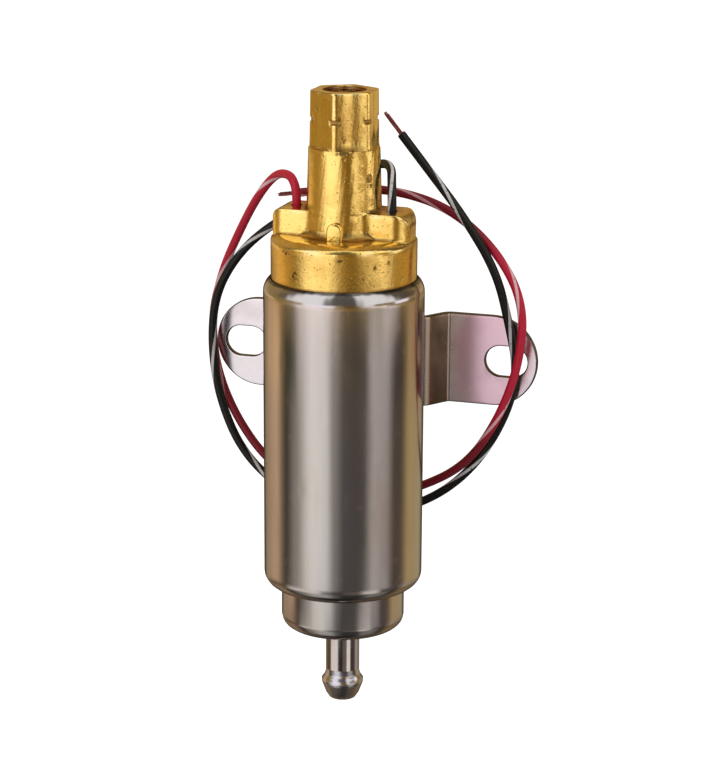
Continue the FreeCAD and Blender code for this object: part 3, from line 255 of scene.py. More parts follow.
def tube_grid(path, radius, sides):
    """A round tube along path: centre + r (cos a n + sin a b), with n the part of +Y square to the path.

    Each end is closed by a rounded edge and a pole.
    """
    ahead = np.gradient(path, axis=0)
    ahead /= np.linalg.norm(ahead, axis=1, keepdims=True)
    up = np.array([0.0, 1.0, 0.0])
    normal = up - ahead * (ahead @ up)[:, None]
    normal /= np.linalg.norm(normal, axis=1, keepdims=True)
    side = np.cross(ahead, normal)
    angle = np.linspace(0, TURN, sides, endpoint=False)[None, :, None]
    ring = np.cos(angle) * normal[:, None] + np.sin(angle) * side[:, None]
    body = path[:, None] + radius * ring
    cap = [(0.0, 0.0), (0.55, 0.0), (0.85, 0.04), (0.97, 0.14)]
    starts = [path[None, :1] + radius * (share * ring[:1] + depth * ahead[:1, None]) for share, depth in cap]
    ends = [path[None, -1:] + radius * (share * ring[-1:] - depth * ahead[-1:, None]) for share, depth in cap]
    inner = body[1:-1]
    return np.concatenate(starts + [inner] + ends[::-1])


def quads_of(rows, columns, closed=False):
    """Corner numbers of a grid's quads, and their unwrapped row and column numbers.

    The columns go round and meet; the rows do so where closed is true.
    """
    row, column = np.meshgrid(np.arange(rows if closed else rows - 1), np.arange(columns), indexing="ij")
    row = row.reshape(-1, 1) + np.array([[0, 0, 1, 1]])
    column = column.reshape(-1, 1) + np.array([[0, 1, 1, 0]])
    return (row % rows) * columns + column % columns, row, column


def new_piece(name, grids, slot, nodes=(), finish=None, body=HOUSING, sharp=30.0, marks=None):
    """A piece from closed grids of millimetre points, at the origin, riding on its body if it has one.

    grids holds (points, closed) with points as rows by columns by 3, and whether the last row meets the
    first. The UV map holds the share of the way round the columns, and the distance along the rows in metres.
    marks holds, for each grid, the share of painted shade in hollows and how worn each point is, and goes
    into a second map. The finish is the slot's unless another is named.
    """
    places = []
    faces = []
    maps = []
    count = 0
    for points, closed in grids:
        rows, columns = points.shape[:2]
        corner, row, column = quads_of(rows, columns, closed)
        step = np.linalg.norm(np.diff(points.mean(1), axis=0), axis=1) * MM
        along = np.concatenate([[0], np.cumsum(step), [step.sum()]])
        places.append(in_frame(points).reshape(-1, 3))
        faces.append(corner + count)
        maps.append(np.stack([column / columns, along[row]], -1).reshape(-1, 2))
        count += rows * columns
    places = np.concatenate(places)
    faces = np.concatenate(faces)
    maps = np.concatenate(maps)
    mesh = bpy.data.meshes.new(name)
    mesh.vertices.add(len(places))
    mesh.vertices.foreach_set("co", places.astype(np.float32).ravel())
    mesh.loops.add(faces.size)
    mesh.loops.foreach_set("vertex_index", faces.astype(np.int32).ravel())
    mesh.polygons.add(len(faces))
    mesh.polygons.foreach_set("loop_start", np.arange(0, faces.size, 4, dtype=np.int32))
    mesh.uv_layers.new(name="UVMap").data.foreach_set("uv", maps.astype(np.float32).ravel())
    if marks is not None:
        held = np.concatenate([each.reshape(-1, 2) for each in marks])[faces].reshape(-1, 2)
        mesh.uv_layers.new(name="Marks").data.foreach_set("uv", held.astype(np.float32).ravel())
    mesh.update(calc_edges=True)
    piece = bpy.data.objects.new(name, mesh)
    bpy.context.scene.collection.objects.link(piece)
    weld(mesh)
    mesh.shade_smooth()
    mesh.set_sharp_from_angle(angle=math.radians(sharp))
    mesh.materials.append(FINISHES[finish or slot])
    if body:
        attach(piece, body)
    if nodes:
        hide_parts(*nodes)
    return piece


def weld(mesh):
    """Closes seams and poles, and turns all faces outwards."""
    work = bmesh.new()
    work.from_mesh(mesh)
    bmesh.ops.remove_doubles(work, verts=work.verts, dist=2e-7)
    bmesh.ops.recalc_face_normals(work, faces=work.faces)
    work.to_mesh(mesh)
    work.free()
    mesh.update()


def solid_from(name, points):
    """A closed grid as a plain object, for cutting or joining."""
    corner = quads_of(*points.shape[:2])[0]
    mesh = bpy.data.meshes.new(name)
    mesh.from_pydata(in_frame(points).reshape(-1, 3).tolist(), [], corner.tolist())
    weld(mesh)
    tool = bpy.data.objects.new(name, mesh)
    bpy.context.scene.collection.objects.link(tool)
    return tool


def apply_booleans(piece, steps, sharp):
    """Joins or cuts the piece with the tools in steps, a list of (tool, operation), and keeps the result."""
    for tool, operation in steps:
        change = piece.modifiers.new(tool.name, "BOOLEAN")
        change.operation = operation
        change.solver = "MANIFOLD"
        change.object = tool
    bpy.context.view_layer.update()
    result = piece.evaluated_get(bpy.context.evaluated_depsgraph_get())
    mesh = bpy.data.meshes.new_from_object(result)
    piece.modifiers.clear()
    old = piece.data
    if not mesh.polygons:
        raise RuntimeError(f"{piece.name}: joining and cutting left nothing")
    mesh.materials.clear()
    mesh.materials.append(old.materials[0])
    piece.data = mesh
    mesh.name = old.name
    bpy.data.meshes.remove(old)
    for tool, _ in steps:
        bpy.data.objects.remove(tool)
    mesh.shade_smooth()
    mesh.set_sharp_from_angle(angle=math.radians(sharp))


def rod_grid(radius, foot, top, across, columns=48):
    """A closed upright cylinder: its foot's centre, foot ring, top ring and top's centre."""
    angle = np.linspace(0, TURN, columns, endpoint=False)
    reach = np.array([0, radius, radius, 0])[:, None]
    height = np.array([foot, foot, top, top])[:, None]
    return np.stack([across + reach * np.cos(angle), reach * np.sin(angle), height + 0 * angle], -1)


# Angle round the axis in degrees, height, width and depth of the can's dents, in millimetres
CAN_DENTS = [
    (-104.0, 58.0, 1.1, 0.05),
    (-88.0, 76.0, 0.8, 0.04),
    (-63.0, 47.0, 1.4, 0.05),
    (-52.0, 91.0, 0.9, 0.04),
    (-120.0, 88.0, 1.6, 0.04),
    (38.0, 60.0, 1.8, 0.06),
    (160.0, 72.0, 1.5, 0.05),
]


def can_wander(angle, height):
    """Slight unevenness of the drawn can: long shallow waves round it, and a few small dents."""
    waves = 0.010 * np.sin(3 * angle + 0.9) + 0.006 * np.sin(5 * angle + 0.02 * height)
    waves = waves + 0.004 * np.sin(11 * angle + 0.05 * height + 1.3)
    dents = 0.0
    for turn, level, wide, depth in CAN_DENTS:
        arc = 19.0 * ((angle - math.radians(turn) + math.pi) % TURN - math.pi)
        dents = dents + depth * np.exp(-(arc ** 2 + (height - level) ** 2) / wide ** 2)
    rolled = smooth_step(height, LIP_FOOT - 1.0, LIP_FOOT + 1.2)
    marks = 0.02 * np.sin(31 * angle) * np.sin(17 * angle + 1.0)
    return waves * (1 - rolled) - dents + marks * rolled


# The gap round what the can holds, its sheet's drawn edge at the lip, and the rounds of its steps
FIT = 0.05
LIP_EDGE = 0.18
CUP_ROUND = 2.5
CUP_NECK = 0.5
SHELL_ROUND = 3.0


class PUMP_OT_shell(bpy.types.Operator):
    """Builds the drawn steel can with its cup, shoulder and rolled lip"""

    bl_idname = "pump.shell"
    bl_label = "Shell"

    def execute(self, context):
        sizes = context.scene.pump_sizes
        radius = sizes.shell_radius / MM
        wall = sizes.shell_wall / MM
        cup = sizes.cup_radius / MM
        hole = sizes.nipple_radius / MM + FIT
        lip_bore = sizes.disc_radius / MM + FIT
        reach = radius - lip_bore - LIP_EDGE
        rise = SHELL_TOP - LIP_FOOT
        tangent = (reach ** 2 + rise ** 2) / (2 * rise)
        outline = rounded_outline([
            (hole, CUP_FOOT, 0),
            (cup, CUP_FOOT, CUP_ROUND),
            (cup, SHELL_FOOT, CUP_NECK),
            (radius, SHELL_FOOT, SHELL_ROUND),
            (radius, LIP_FOOT + tangent, tangent * rise / reach),
            (radius - reach, SHELL_TOP, 0),
            (lip_bore, SHELL_TOP, 0),
            (lip_bore, LIP_FOOT + radius - wall - lip_bore, 0),
            (radius - wall, LIP_FOOT, 0),
            (radius - wall, SHELL_FOOT + wall, SHELL_ROUND - wall),
            (cup - wall, SHELL_FOOT + wall, CUP_NECK + wall),
            (cup - wall, CUP_FOOT + wall, CUP_ROUND - wall),
            (hole, CUP_FOOT + wall, 0),
        ])
        points = turned_grid(divided(outline, 1.6), 288, can_wander)
        new_piece("pump_shell_dressed", [(points, True)], "shell_steel", ["pump_shell"], sharp=40)
        return {"FINISHED"}


# The nipple's radii, and the heights of its bead and of the collar inside the can
NIPPLE_BORE = 2.6
NIPPLE_TIP = 3.6
BEAD_FOOT = 4.0
BEAD_TOP = 4.9
COLLAR_RADIUS = 6.5
COLLAR_FOOT = 20.6
COLLAR_TOP = 22.0


class PUMP_OT_nipple(bpy.types.Operator):
    """Builds the turned hose nipple with its bead"""

    bl_idname = "pump.nipple"
    bl_label = "Inlet nipple"

    def execute(self, context):
        sizes = context.scene.pump_sizes
        tube = sizes.nipple_radius / MM
        bead = sizes.bead_radius / MM
        outline = rounded_outline([
            (NIPPLE_BORE, 0, 0.3),
            (NIPPLE_TIP, 0, 0.5),
            (bead, BEAD_FOOT, 0.6),
            (bead, BEAD_TOP, 0.6),
            (tube, BEAD_TOP + 1.0, 0.6),
            (tube, COLLAR_FOOT, 0),
            (COLLAR_RADIUS, COLLAR_FOOT, 0),
            (COLLAR_RADIUS, COLLAR_TOP, 0),
            (NIPPLE_BORE, COLLAR_TOP, 0),
        ])
        points = turned_grid(divided(outline, 1.2), 128)
        new_piece("inlet_nipple_dressed", [(points, True)], "nipple_steel", ["inlet_nipple"], sharp=40)
        return {"FINISHED"}


# The head: rounds of the towers, boss and disc, then its bores, seal groove, hexagon, thread and nub
TOWER_END_ROUND = 3.8
WEB_RADIUS = 4.6
EDGE_ROUND = 0.5
ROOF_FILLET = 0.7
TOWER_SHOULDER = 3.0
DISC_EDGE = 0.6
DISC_SLOPE = 1.9
DISC_DROP = 1.1
MOUTH_RADIUS = 5.4
BORE_RADIUS = 5.0
GROOVE_RADIUS = 7.7
FLANGE_RADIUS = 17.8
SEAL_RADIUS = 16.05
SEAL_FOOT = 97.9
SEAL_TOP = 100.3
SKIRT_RADIUS = 11.0
VALVE_FOOT = 104.0
VALVE_RADIUS = 4.2
PASSAGE_RADIUS = 2.6
CHAMBER_RADIUS = 4.1
GROOVE_HALF = 0.35
HEX_ROUND = 8.24
HEX_ROUND_DRAFT = 0.16
HEX_DRAFT = 0.3
HEX_EDGE = 0.25
HEX_SOFT = 0.08
HEX_RIPPLE = 0.045
HEX_RIPPLES = 11.0
HEX_RIPPLE_START = 4.58
THREAD_PITCH = 0.94
THREAD_CREST = 4.37
THREAD_DEPTH = 0.52
NUB_TURN = math.radians(-86.0)
NUB_WIDTH = 3.7
NUB_TOP = 120.1
NUB_BACK = 7.5
NUB_FRONT = 10.3
NUB_EDGE = 0.45

# What is bored out of each tower: name, radius, foot, top, and distance of its middle from the axis
TOWER_BORES = [
    ("pocket", 4.85, 95.0, 119.4, 8.0),
    ("hole", 1.98, 119.0, 120.9, LEAD_X),
    ("lip", 1.42, 120.8, 123.0, LEAD_X),
]


def tower_plan(angle, boss, half, reach):
    """Distance from the axis to the edge of boss and towers, seen from above, in each direction.

    The towers are a round-cornered bar across the boss. With c and s the direction's cosine and sine, its end
    face lies at reach / c and its flat side at half width / s. Its round corner lies where the ray leaves the
    corner's circle, and the concave round that joins the flat side to the boss where it enters that circle.
    """
    cosine = np.abs(np.cos(angle))
    sine = np.abs(np.sin(angle))
    corner_x = reach - TOWER_END_ROUND
    corner_y = half - TOWER_END_ROUND
    past = corner_x * cosine + corner_y * sine
    beside = corner_x * sine - corner_y * cosine
    corner_back = half + WEB_RADIUS
    corner_across = np.sqrt((boss + WEB_RADIUS) ** 2 - corner_back ** 2)
    along = cosine * corner_across + sine * corner_back
    gap = corner_across ** 2 + corner_back ** 2 - WEB_RADIUS ** 2
    web = along - np.sqrt(np.maximum(along ** 2 - gap, 0))
    corner = past + np.sqrt(np.maximum(TOWER_END_ROUND ** 2 - beside ** 2, 0))
    end = reach / np.maximum(cosine, 1e-6)
    flat = half / np.maximum(sine, 1e-6)
    turn = np.arctan2(sine, cosine)
    choices = [turn < np.arctan2(corner_y, reach), turn < np.arctan2(half, corner_x),
               turn < np.arctan2(half, corner_across), turn < np.arctan2(corner_back, corner_across)]
    return np.select(choices, [end, corner, flat, web], boss)


def off_flat(angle):
    """The angle from the middle of the hexagon's nearest flat."""
    return (angle + TURN / 12) % (TURN / 6) - TURN / 12


def hex_radius(angle, height, flats):
    """Distance from the axis to the hexagon's skin: the nearer of its flat and of the turned round.

    The two meet softly, as -s ln(e^(-flat / s) + e^(-round / s)).
    """
    share = (height - HEX_FOOT) / (HEAD_TOP - HEX_FOOT)
    across = off_flat(angle)
    ripple = HEX_RIPPLE * np.sin(HEX_RIPPLES * across + HEX_RIPPLE_START) * np.cos(3 * across)
    half_flats = (flats + HEX_DRAFT * (1 - share)) / 2 + ripple
    flat = half_flats / np.cos(across)
    turned = HEX_ROUND - HEX_ROUND_DRAFT * share
    return -HEX_SOFT * np.log(np.exp(-flat / HEX_SOFT) + np.exp(-turned / HEX_SOFT))


def cast_noise(angle, height, size):
    """Smooth wander of a cast skin: a sum of waves round the axis and along it, from -1 to 1."""
    first = np.sin(5 * angle + 0.9 * height) * np.sin(0.7 * height + 2 * angle + 0.4)
    second = np.sin(13 * angle - 1.7 * height + 1.0) * np.sin(9 * angle + 1.1 * height)
    third = np.sin(29 * angle + 2.9 * height) * np.sin(23 * angle - 3.7 * height + 2.0)
    return size * (0.5 * first + 0.3 * second + 0.2 * third)


def arc_shares(steps):
    """Sines and cosines of a quarter turn in equal steps."""
    quarter = np.linspace(0, math.pi / 2, steps + 1)
    return list(zip(np.sin(quarter), np.cos(quarter)))


def head_grid(sizes, columns=512):
    """The brass head as rings (r(a), h(a)) from the mouth's rim down the outside and up its bore.

    The side of the boss and towers is tower_plan(a); the roof is level, and falls off at the towers' ends as
    a round of TOWER_SHOULDER; edges and corners are quarter rounds. Returns the points, and for each one the
    share of painted shade in hollows and how worn it is, from 0 to 1.
    """
    angle = np.linspace(-math.pi / 2, 1.5 * math.pi, columns, endpoint=False)
    disc = sizes.disc_radius / MM
    foot = sizes.boss_foot_radius / MM
    neck = sizes.boss_neck_radius / MM
    flats = sizes.hex_flats / MM
    half = sizes.tower_width / MM / 2
    reach = sizes.tower_reach / MM
    wave = sizes.cast_waviness / MM
    rings = []

    def ring(radius, height, cast=0.0, lift=0.0, hollow_shade=0.0, worn=0.0):
        radius = radius + 0 * angle
        height = height + 0 * angle
        height = height + cast_noise(angle + 1.7, radius, wave * lift)
        radius = radius + cast_noise(angle, height, wave * cast)
        rings.append((radius, height, hollow_shade + 0 * angle, worn + 0 * angle))

    def disc_level(radius):
        return DISC_TOP - DISC_DROP * smooth_step(radius, disc - DISC_SLOPE - 0.3, disc + 0.3)

    def boss(height):
        return foot + (neck - foot) * (height - DISC_TOP) / (HEX_FOOT - DISC_TOP)

    # mouth's rim, outwards to the hexagon's top edge
    ring(BORE_RADIUS, HEAD_TOP - MOUTH_RADIUS + BORE_RADIUS, hollow_shade=0.9)
    ring(MOUTH_RADIUS, HEAD_TOP, worn=0.5)
    outside = hex_radius(angle, HEAD_TOP, flats)
    for share in (0.35, 0.7):
        ring(MOUTH_RADIUS + (outside - HEX_EDGE - MOUTH_RADIUS) * share, HEAD_TOP, 0.3)
    for sine, cosine in arc_shares(3):
        ring(outside - HEX_EDGE * (1 - sine), HEAD_TOP - HEX_EDGE * (1 - cosine), 0.3, worn=1.0)
    # hexagon with its groove
    corner_wear = 0.8 * smooth_step(np.abs(off_flat(angle)), math.radians(25.0), math.radians(28.5))
    for height in np.linspace(HEAD_TOP - 0.8, GROOVE_HEIGHT + 0.6, 7):
        ring(hex_radius(angle, height, flats), height, 0.4, worn=corner_wear)
    for height in (GROOVE_HEIGHT + GROOVE_HALF, GROOVE_HEIGHT - GROOVE_HALF):
        corner = hex_radius(angle, height, flats)
        cut = smooth_step(corner - GROOVE_RADIUS, 0.05, 0.3)
        ring(np.minimum(corner, GROOVE_RADIUS), height, 0.4, hollow_shade=cut)
    for height in np.linspace(GROOVE_HEIGHT - 0.6, HEX_FOOT + 1.6, 7):
        ring(hex_radius(angle, height, flats), height, 0.4, worn=corner_wear)
    milled = hex_radius(angle, HEX_FOOT, flats)
    deep = smooth_step(neck - milled, 0.15, 0.6)
    # deep grows on the flat that faces the camera: the scallop there is cut deeper, and its painted shade and
    # the worn line below it are stronger
    deep = deep * (0.3 + 0.7 * smooth_step(np.cos(angle - FRONT_FLAT), 0.80, 0.92))
    scallop = 0.9 * deep
    ring(milled + 0.02, HEX_FOOT + 0.5 + scallop, 0.4, hollow_shade=0.2 * deep)
    ring(milled + 0.10, HEX_FOOT + 0.12 + 0.4 * scallop, 0.4, hollow_shade=deep)
    ring((milled + neck) / 2, HEX_FOOT, 0.4, hollow_shade=deep)
    ring(neck - 0.1, HEX_FOOT - 0.02, 0.6, worn=0.4 * deep)
    # boss
    for height in np.linspace(HEX_FOOT - 0.15, TOWER_TOP + ROOF_FILLET + 0.4, 15):
        ring(boss(height), height, 1.0)
    # roof of the towers, from the fillet on the boss to the rounded edge
    near = boss(TOWER_TOP)
    far = tower_plan(angle, near, half, reach)
    room = far - near
    fillet = np.minimum(ROOF_FILLET, 0.35 * room)
    rounding = np.minimum(EDGE_ROUND, 0.35 * room)
    flat_share = smooth_step(room, 0.0, 1.4)

    def roof(radius):
        over = np.clip(np.abs(radius * np.cos(angle)) - (reach - TOWER_SHOULDER), 0, TOWER_SHOULDER)
        return TOWER_TOP - TOWER_SHOULDER + np.sqrt(TOWER_SHOULDER ** 2 - over ** 2)

    crossing = []
    for sine, cosine in arc_shares(4):
        radius = near + fillet * (1 - cosine)
        crossing.append((radius, roof(radius) + fillet * (1 - sine), 0.8, 0.0))
    for share in np.linspace(0, 1, 12)[1:-1]:
        radius = near + fillet + (room - fillet - rounding) * share
        crossing.append((radius, roof(radius), 0.0, 0.0))
    for sine, cosine in arc_shares(4):
        radius = far - rounding * (1 - sine)
        crossing.append((radius, roof(radius) - rounding * (1 - cosine), 0.0, 1.0))
    for number, (radius, height, hollow_shade, worn) in enumerate(crossing):
        spread = TOWER_TOP + ROOF_FILLET - (ROOF_FILLET + EDGE_ROUND) * number / (len(crossing) - 1)
        ring(radius, height * flat_share + spread * (1 - flat_share), 1.0, hollow_shade=hollow_shade * flat_share,
             worn=worn * flat_share)
    edge_height = crossing[-1][1] * flat_share + (TOWER_TOP - EDGE_ROUND) * (1 - flat_share)
    # side of the towers and boss, and the fillet on the disc
    corner = 0.6 + 1.2 * (1 - smooth_step(room, 0.2, 2.2))
    corner = np.minimum(corner, 0.4 * (disc - far))
    rim = np.minimum(DISC_EDGE, 0.45 * (disc - far))
    foot_level = disc_level(far + corner)
    for share in np.linspace(0, 1, 8)[1:]:
        height = edge_height + (foot_level + corner - edge_height) * share
        ring(tower_plan(angle, boss(height), half, reach), height, 1.0)
    side = tower_plan(angle, boss(DISC_TOP + corner), half, reach)
    for sine, cosine in arc_shares(5)[1:]:
        ring(side + corner * (1 - cosine), foot_level + corner * (1 - sine), 1.0, hollow_shade=0.5 + 0.5 * sine)
    # disc and its sloping rim
    for share in np.linspace(0, 1, 12)[1:-1]:
        radius = side + corner + (disc - rim - side - corner) * share
        ring(radius, disc_level(radius), 1.2, 1.6 * smooth_step(disc - radius, 0.0, 1.5),
             hollow_shade=0.6 * (1 - smooth_step(radius - side - corner, 0.0, 1.2)))
    for sine, cosine in arc_shares(4):
        radius = disc - rim * (1 - sine)
        ring(radius, disc_level(radius) - rim * (1 - cosine), 0.5, 1.2, worn=0.8)
    for height in np.linspace(DISC_TOP - DISC_DROP - DISC_EDGE - 0.9, SHELL_TOP + 0.6, 6):
        ring(disc, height, 0.5)
    ring(disc, SHELL_TOP + 0.25, 0.5, hollow_shade=0.6)
    ring(disc, SHELL_TOP, 0.3, hollow_shade=1.0)
    # flange under the can's lip, with the seal's groove, then the underside and the bores
    inner = [(disc, LIP_FOOT + 0.35), (FLANGE_RADIUS, LIP_FOOT - 0.05), (FLANGE_RADIUS, SEAL_TOP),
             (SEAL_RADIUS, SEAL_TOP), (SEAL_RADIUS, SEAL_FOOT), (FLANGE_RADIUS, SEAL_FOOT),
             (FLANGE_RADIUS, HEAD_FOOT + 0.3), (FLANGE_RADIUS - 0.3, HEAD_FOOT), (SKIRT_RADIUS, HEAD_FOOT),
             (VALVE_RADIUS, HEAD_FOOT), (VALVE_RADIUS, VALVE_FOOT), (PASSAGE_RADIUS, VALVE_FOOT),
             (PASSAGE_RADIUS, CHECK_SEAT), (CHAMBER_RADIUS, CHECK_SEAT), (CHAMBER_RADIUS, THREAD_FOOT),
             (BORE_RADIUS, THREAD_FOOT)]
    for radius, height in inner:
        ring(radius, height)
    radius, height, hollow_shade, worn = np.array(rings).transpose(1, 0, 2)
    points = np.stack([radius * np.cos(angle), radius * np.sin(angle), height], -1)
    return points, np.stack([hollow_shade, worn], -1)


def nub_grid(columns=64):
    """The small cast nub: a tombstone outline carried outwards along the radius at NUB_TURN.

    The outline is a half circle over two upright sides; towards the front it draws in as a quarter round.
    """
    half = NUB_WIDTH / 2
    centre = NUB_TOP - half
    foot = DISC_TOP - 0.8
    angle = np.linspace(0, math.pi, columns // 2)
    across = np.concatenate([half * np.cos(angle), np.full(columns // 4, -half),
                             np.linspace(-half, half, columns // 8 + 2)[1:-1], np.full(columns // 4, half)])
    rise = np.linspace(0, 1, columns // 4 + 1)
    height = np.concatenate([centre + half * np.sin(angle), centre + (foot - centre) * rise[1:],
                             np.full(columns // 8, foot), foot + (centre - foot) * rise[:-1]])
    length = NUB_FRONT - NUB_EDGE - NUB_BACK
    stations = [(NUB_BACK, 0.0)] + [(NUB_BACK + length * share, 1.0) for share in (0.0, 0.5, 1.0)]
    stations += [(NUB_FRONT - NUB_EDGE * (1 - sine), 1 - NUB_EDGE * (1 - cosine) / half)
                 for sine, cosine in arc_shares(4)[1:]]
    stations.append((NUB_FRONT, 0.0))
    middle = (centre + foot) / 2 + 0.6
    grid = []
    for reach, share in stations:
        u = across * share
        v = middle + (height - middle) * share
        grid.append(np.stack([reach * math.cos(NUB_TURN) - u * math.sin(NUB_TURN),
                              reach * math.sin(NUB_TURN) + u * math.cos(NUB_TURN), v], -1))
    return np.array(grid)


def thread_grid(columns=96):
    """The pipe thread in the mouth: a sleeve whose inner radius is a helical saw.

    Its inner radius is crest + depth times a triangle wave of height / pitch - angle / turn, cut back by the
    mouth's 45 degree countersink.
    """
    height = np.arange(THREAD_FOOT + 0.05, HEAD_TOP - 0.08, THREAD_PITCH / 9)[:, None]
    angle = np.linspace(0, TURN, columns, endpoint=False)[None, :]
    phase = (height / THREAD_PITCH - angle / TURN) % 1.0
    wave = np.abs(2 * phase - 1)
    inner = THREAD_CREST + THREAD_DEPTH * np.clip(wave * 1.35 - 0.15, 0, 1)
    inner = np.minimum(np.maximum(inner, MOUTH_RADIUS - (HEAD_TOP - height)), BORE_RADIUS)
    outer = BORE_RADIUS + 0.04 + 0 * inner
    radius = np.concatenate([inner, outer[::-1]])
    level = np.concatenate([height + 0 * angle, (height + 0 * angle)[::-1]])
    turn = angle + 0 * level
    return np.stack([radius * np.cos(turn), radius * np.sin(turn), level], -1)


class PUMP_OT_head(bpy.types.Operator):
    """Builds the cast brass outlet head with its towers, boss, hexagon, nub and pipe thread"""

    bl_idname = "pump.head"
    bl_label = "Outlet head"

    def execute(self, context):
        sizes = context.scene.pump_sizes
        points, marks = head_grid(sizes)
        head = new_piece("outlet_head_casting", [(points, True)], "brass", ["outlet_head"], sharp=38,
                         marks=[marks])
        steps = [(solid_from("nub", nub_grid()), "UNION")]
        for side in (-1, 1):
            for name, radius, foot, top, across in TOWER_BORES:
                bore = solid_from(f"{name}_{side}", rod_grid(radius, foot, top, side * across))
                steps.append((bore, "DIFFERENCE"))
        apply_booleans(head, steps, sharp=38)
        new_piece("outlet_thread", [(thread_grid(), True)], "brass", finish="brass_thread", sharp=50)
        return {"FINISHED"}


class PUMP_OT_grommets(bpy.types.Operator):
    """Builds the rubber bushes round the leads"""

    bl_idname = "pump.grommets"
    bl_label = "Lead bushes"

    def execute(self, context):
        outline = rounded_outline([
            (1.10, 119.45, 0),
            (1.90, 119.45, 0),
            (1.90, 120.8, 0.1),
            (1.36, 120.8, 0),
            (1.36, 121.75, 0.1),
            (1.10, 121.6, 0.05),
        ], 4)
        for side, lead in ((-1, "red"), (1, "black")):
            points = turned_grid(divided(outline, 0.5), 48)
            points[..., 0] += side * LEAD_X
            new_piece(f"{lead}_lead_bush", [(points, True)], "seal_rubber", [f"{lead}_lead_grommet"])
        return {"FINISHED"}


# The bracket: depths of its middle and ears, half widths of its bends, ears, slots and spot welds
SHELL_REST = 19.05
BRACKET_FRONT = 25.3
WEB_HALF = 14.8
KNEE = 19.1
BEND = 1.4
EAR_RADIUS = 11.25
SLOT_CENTRE = 33.5
SLOT_HALF = 5.25
SLOT_ROUND = 3.8
STRAP_EDGE = 0.3
WELD_HEIGHTS = (-6.2, 6.2)
WELD_RADIUS = 1.5
WELD_DEPTH = 0.35


def strap_profile(thickness):
    """The strap's front and back lines seen from above, as points with x growing from 0."""
    shell = SHELL_REST
    wide = BEND + thickness
    leg = np.array([BRACKET_FRONT - shell, KNEE - WEB_HALF])
    leg = leg / np.linalg.norm(leg)
    lean = math.atan2(BRACKET_FRONT - shell, KNEE - WEB_HALF)
    shift = thickness * math.tan(lean / 2)
    front = [(-50, shell, 0), (WEB_HALF, shell, wide), (KNEE, BRACKET_FRONT, BEND), (60, BRACKET_FRONT, 0)]
    back = [(-50, shell + thickness, 0), (WEB_HALF - shift, shell + thickness, BEND),
            (KNEE - shift, BRACKET_FRONT + thickness, wide), (60, BRACKET_FRONT + thickness, 0)]
    return [rounded_outline(line, 12) for line in (front, back)]


def strap_grid(sizes):
    """Upper half of the bracket, as a section carried across from one ear's tip to the other.

    At each station the section runs from the strap's middle line, or the slot's edge, up to the outline and
    back on the wall side; y is the front or back line of strap_profile at that x, and each edge is a quarter
    round of STRAP_EDGE. Seen from the front, places are complex numbers, x + i height, and so are the
    directions that the edges face. Returns the points, and which of them lie on the sheared edges.
    """
    tip = sizes.ear_reach / MM
    centre = tip - EAR_RADIUS
    slot_in = SLOT_CENTRE - SLOT_HALF
    slot_out = SLOT_CENTRE + SLOT_HALF
    quarter = np.exp(-1j * np.linspace(0, math.pi / 2, 13))
    plain = np.concatenate([np.arange(0, 4.4, 0.4), np.arange(4.6, 12.4, 1.1), np.linspace(12.5, 22.0, 48),
                            np.linspace(22.6, slot_in - STRAP_EDGE, 9)])
    level = np.linspace(slot_in + SLOT_ROUND, slot_out - SLOT_ROUND, 5)[1:-1]
    beyond = np.linspace(0, 1, 12)[1:]
    to_slot = np.concatenate([0 * plain, quarter, 0 * level - 1j, -1j * quarter, 0 * beyond])
    middle = np.concatenate([plain, 0 * quarter + slot_in + SLOT_ROUND, level,
                             0 * quarter + slot_out - SLOT_ROUND,
                             slot_out + STRAP_EDGE + (tip - slot_out - 2 * STRAP_EDGE) * beyond])
    inner = middle - (SLOT_ROUND + STRAP_EDGE) * to_slot
    stations = (middle - SLOT_ROUND * to_slot).real
    turn = math.asin((slot_out - centre) / EAR_RADIUS)
    stations[-beyond.size:] = centre + EAR_RADIUS * np.sin(turn + (math.pi / 2 - turn) * beyond)
    lean = np.arcsin(np.clip((stations - centre) / EAR_RADIUS, 0, 1))
    to_out = np.sin(lean) + 1j * np.cos(lean)
    outer = stations + 1j * EAR_RADIUS * np.cos(lean) - STRAP_EDGE * to_out
    inner, to_slot, outer, to_out = (np.concatenate([-line[:0:-1].conj(), line])[:, None]
                                     for line in (inner, to_slot, outer, to_out))
    sine, cosine = np.array(arc_shares(4)[1:]).T[:, None]
    sink = STRAP_EDGE * (1 - cosine)
    face = inner + (outer - inner) * np.linspace(0, 1, 20)
    out_edge = outer + STRAP_EDGE * to_out * sine
    slot_edge = inner + STRAP_EDGE * to_slot * sine
    # Each strip's places, how far behind its face's line it lies, whether that is the back line, and if it is
    # sheared: the front face, the outer edge, the back face, and the slot's edge
    strips = [
        (face, 0, 0, 0),
        (out_edge, sink, 0, 1),
        (out_edge[:, ::-1], -sink[:, ::-1], 1, 1),
        (face[:, ::-1], 0, 1, 0),
        (slot_edge, -sink, 1, 1),
        (slot_edge[:, ::-1], sink[:, ::-1], 0, 1),
    ]
    place, deep, at_back, cut = (
        np.concatenate([strip[part] + 0 * strip[0].real for strip in strips], 1) for part in range(4))
    front, back = (np.interp(np.abs(place.real), *line[np.argsort(line[:, 0])].T)
                   for line in strap_profile(sizes.bracket_thickness / MM))
    for height in WELD_HEIGHTS:
        back = back - WELD_DEPTH * np.exp(-(np.abs(place - 1j * height) / WELD_RADIUS) ** 4)
    depth = front * (1 - at_back) + back * at_back + deep
    return np.stack([place.real, depth, place.imag], -1), np.stack([0 * cut, cut], -1)


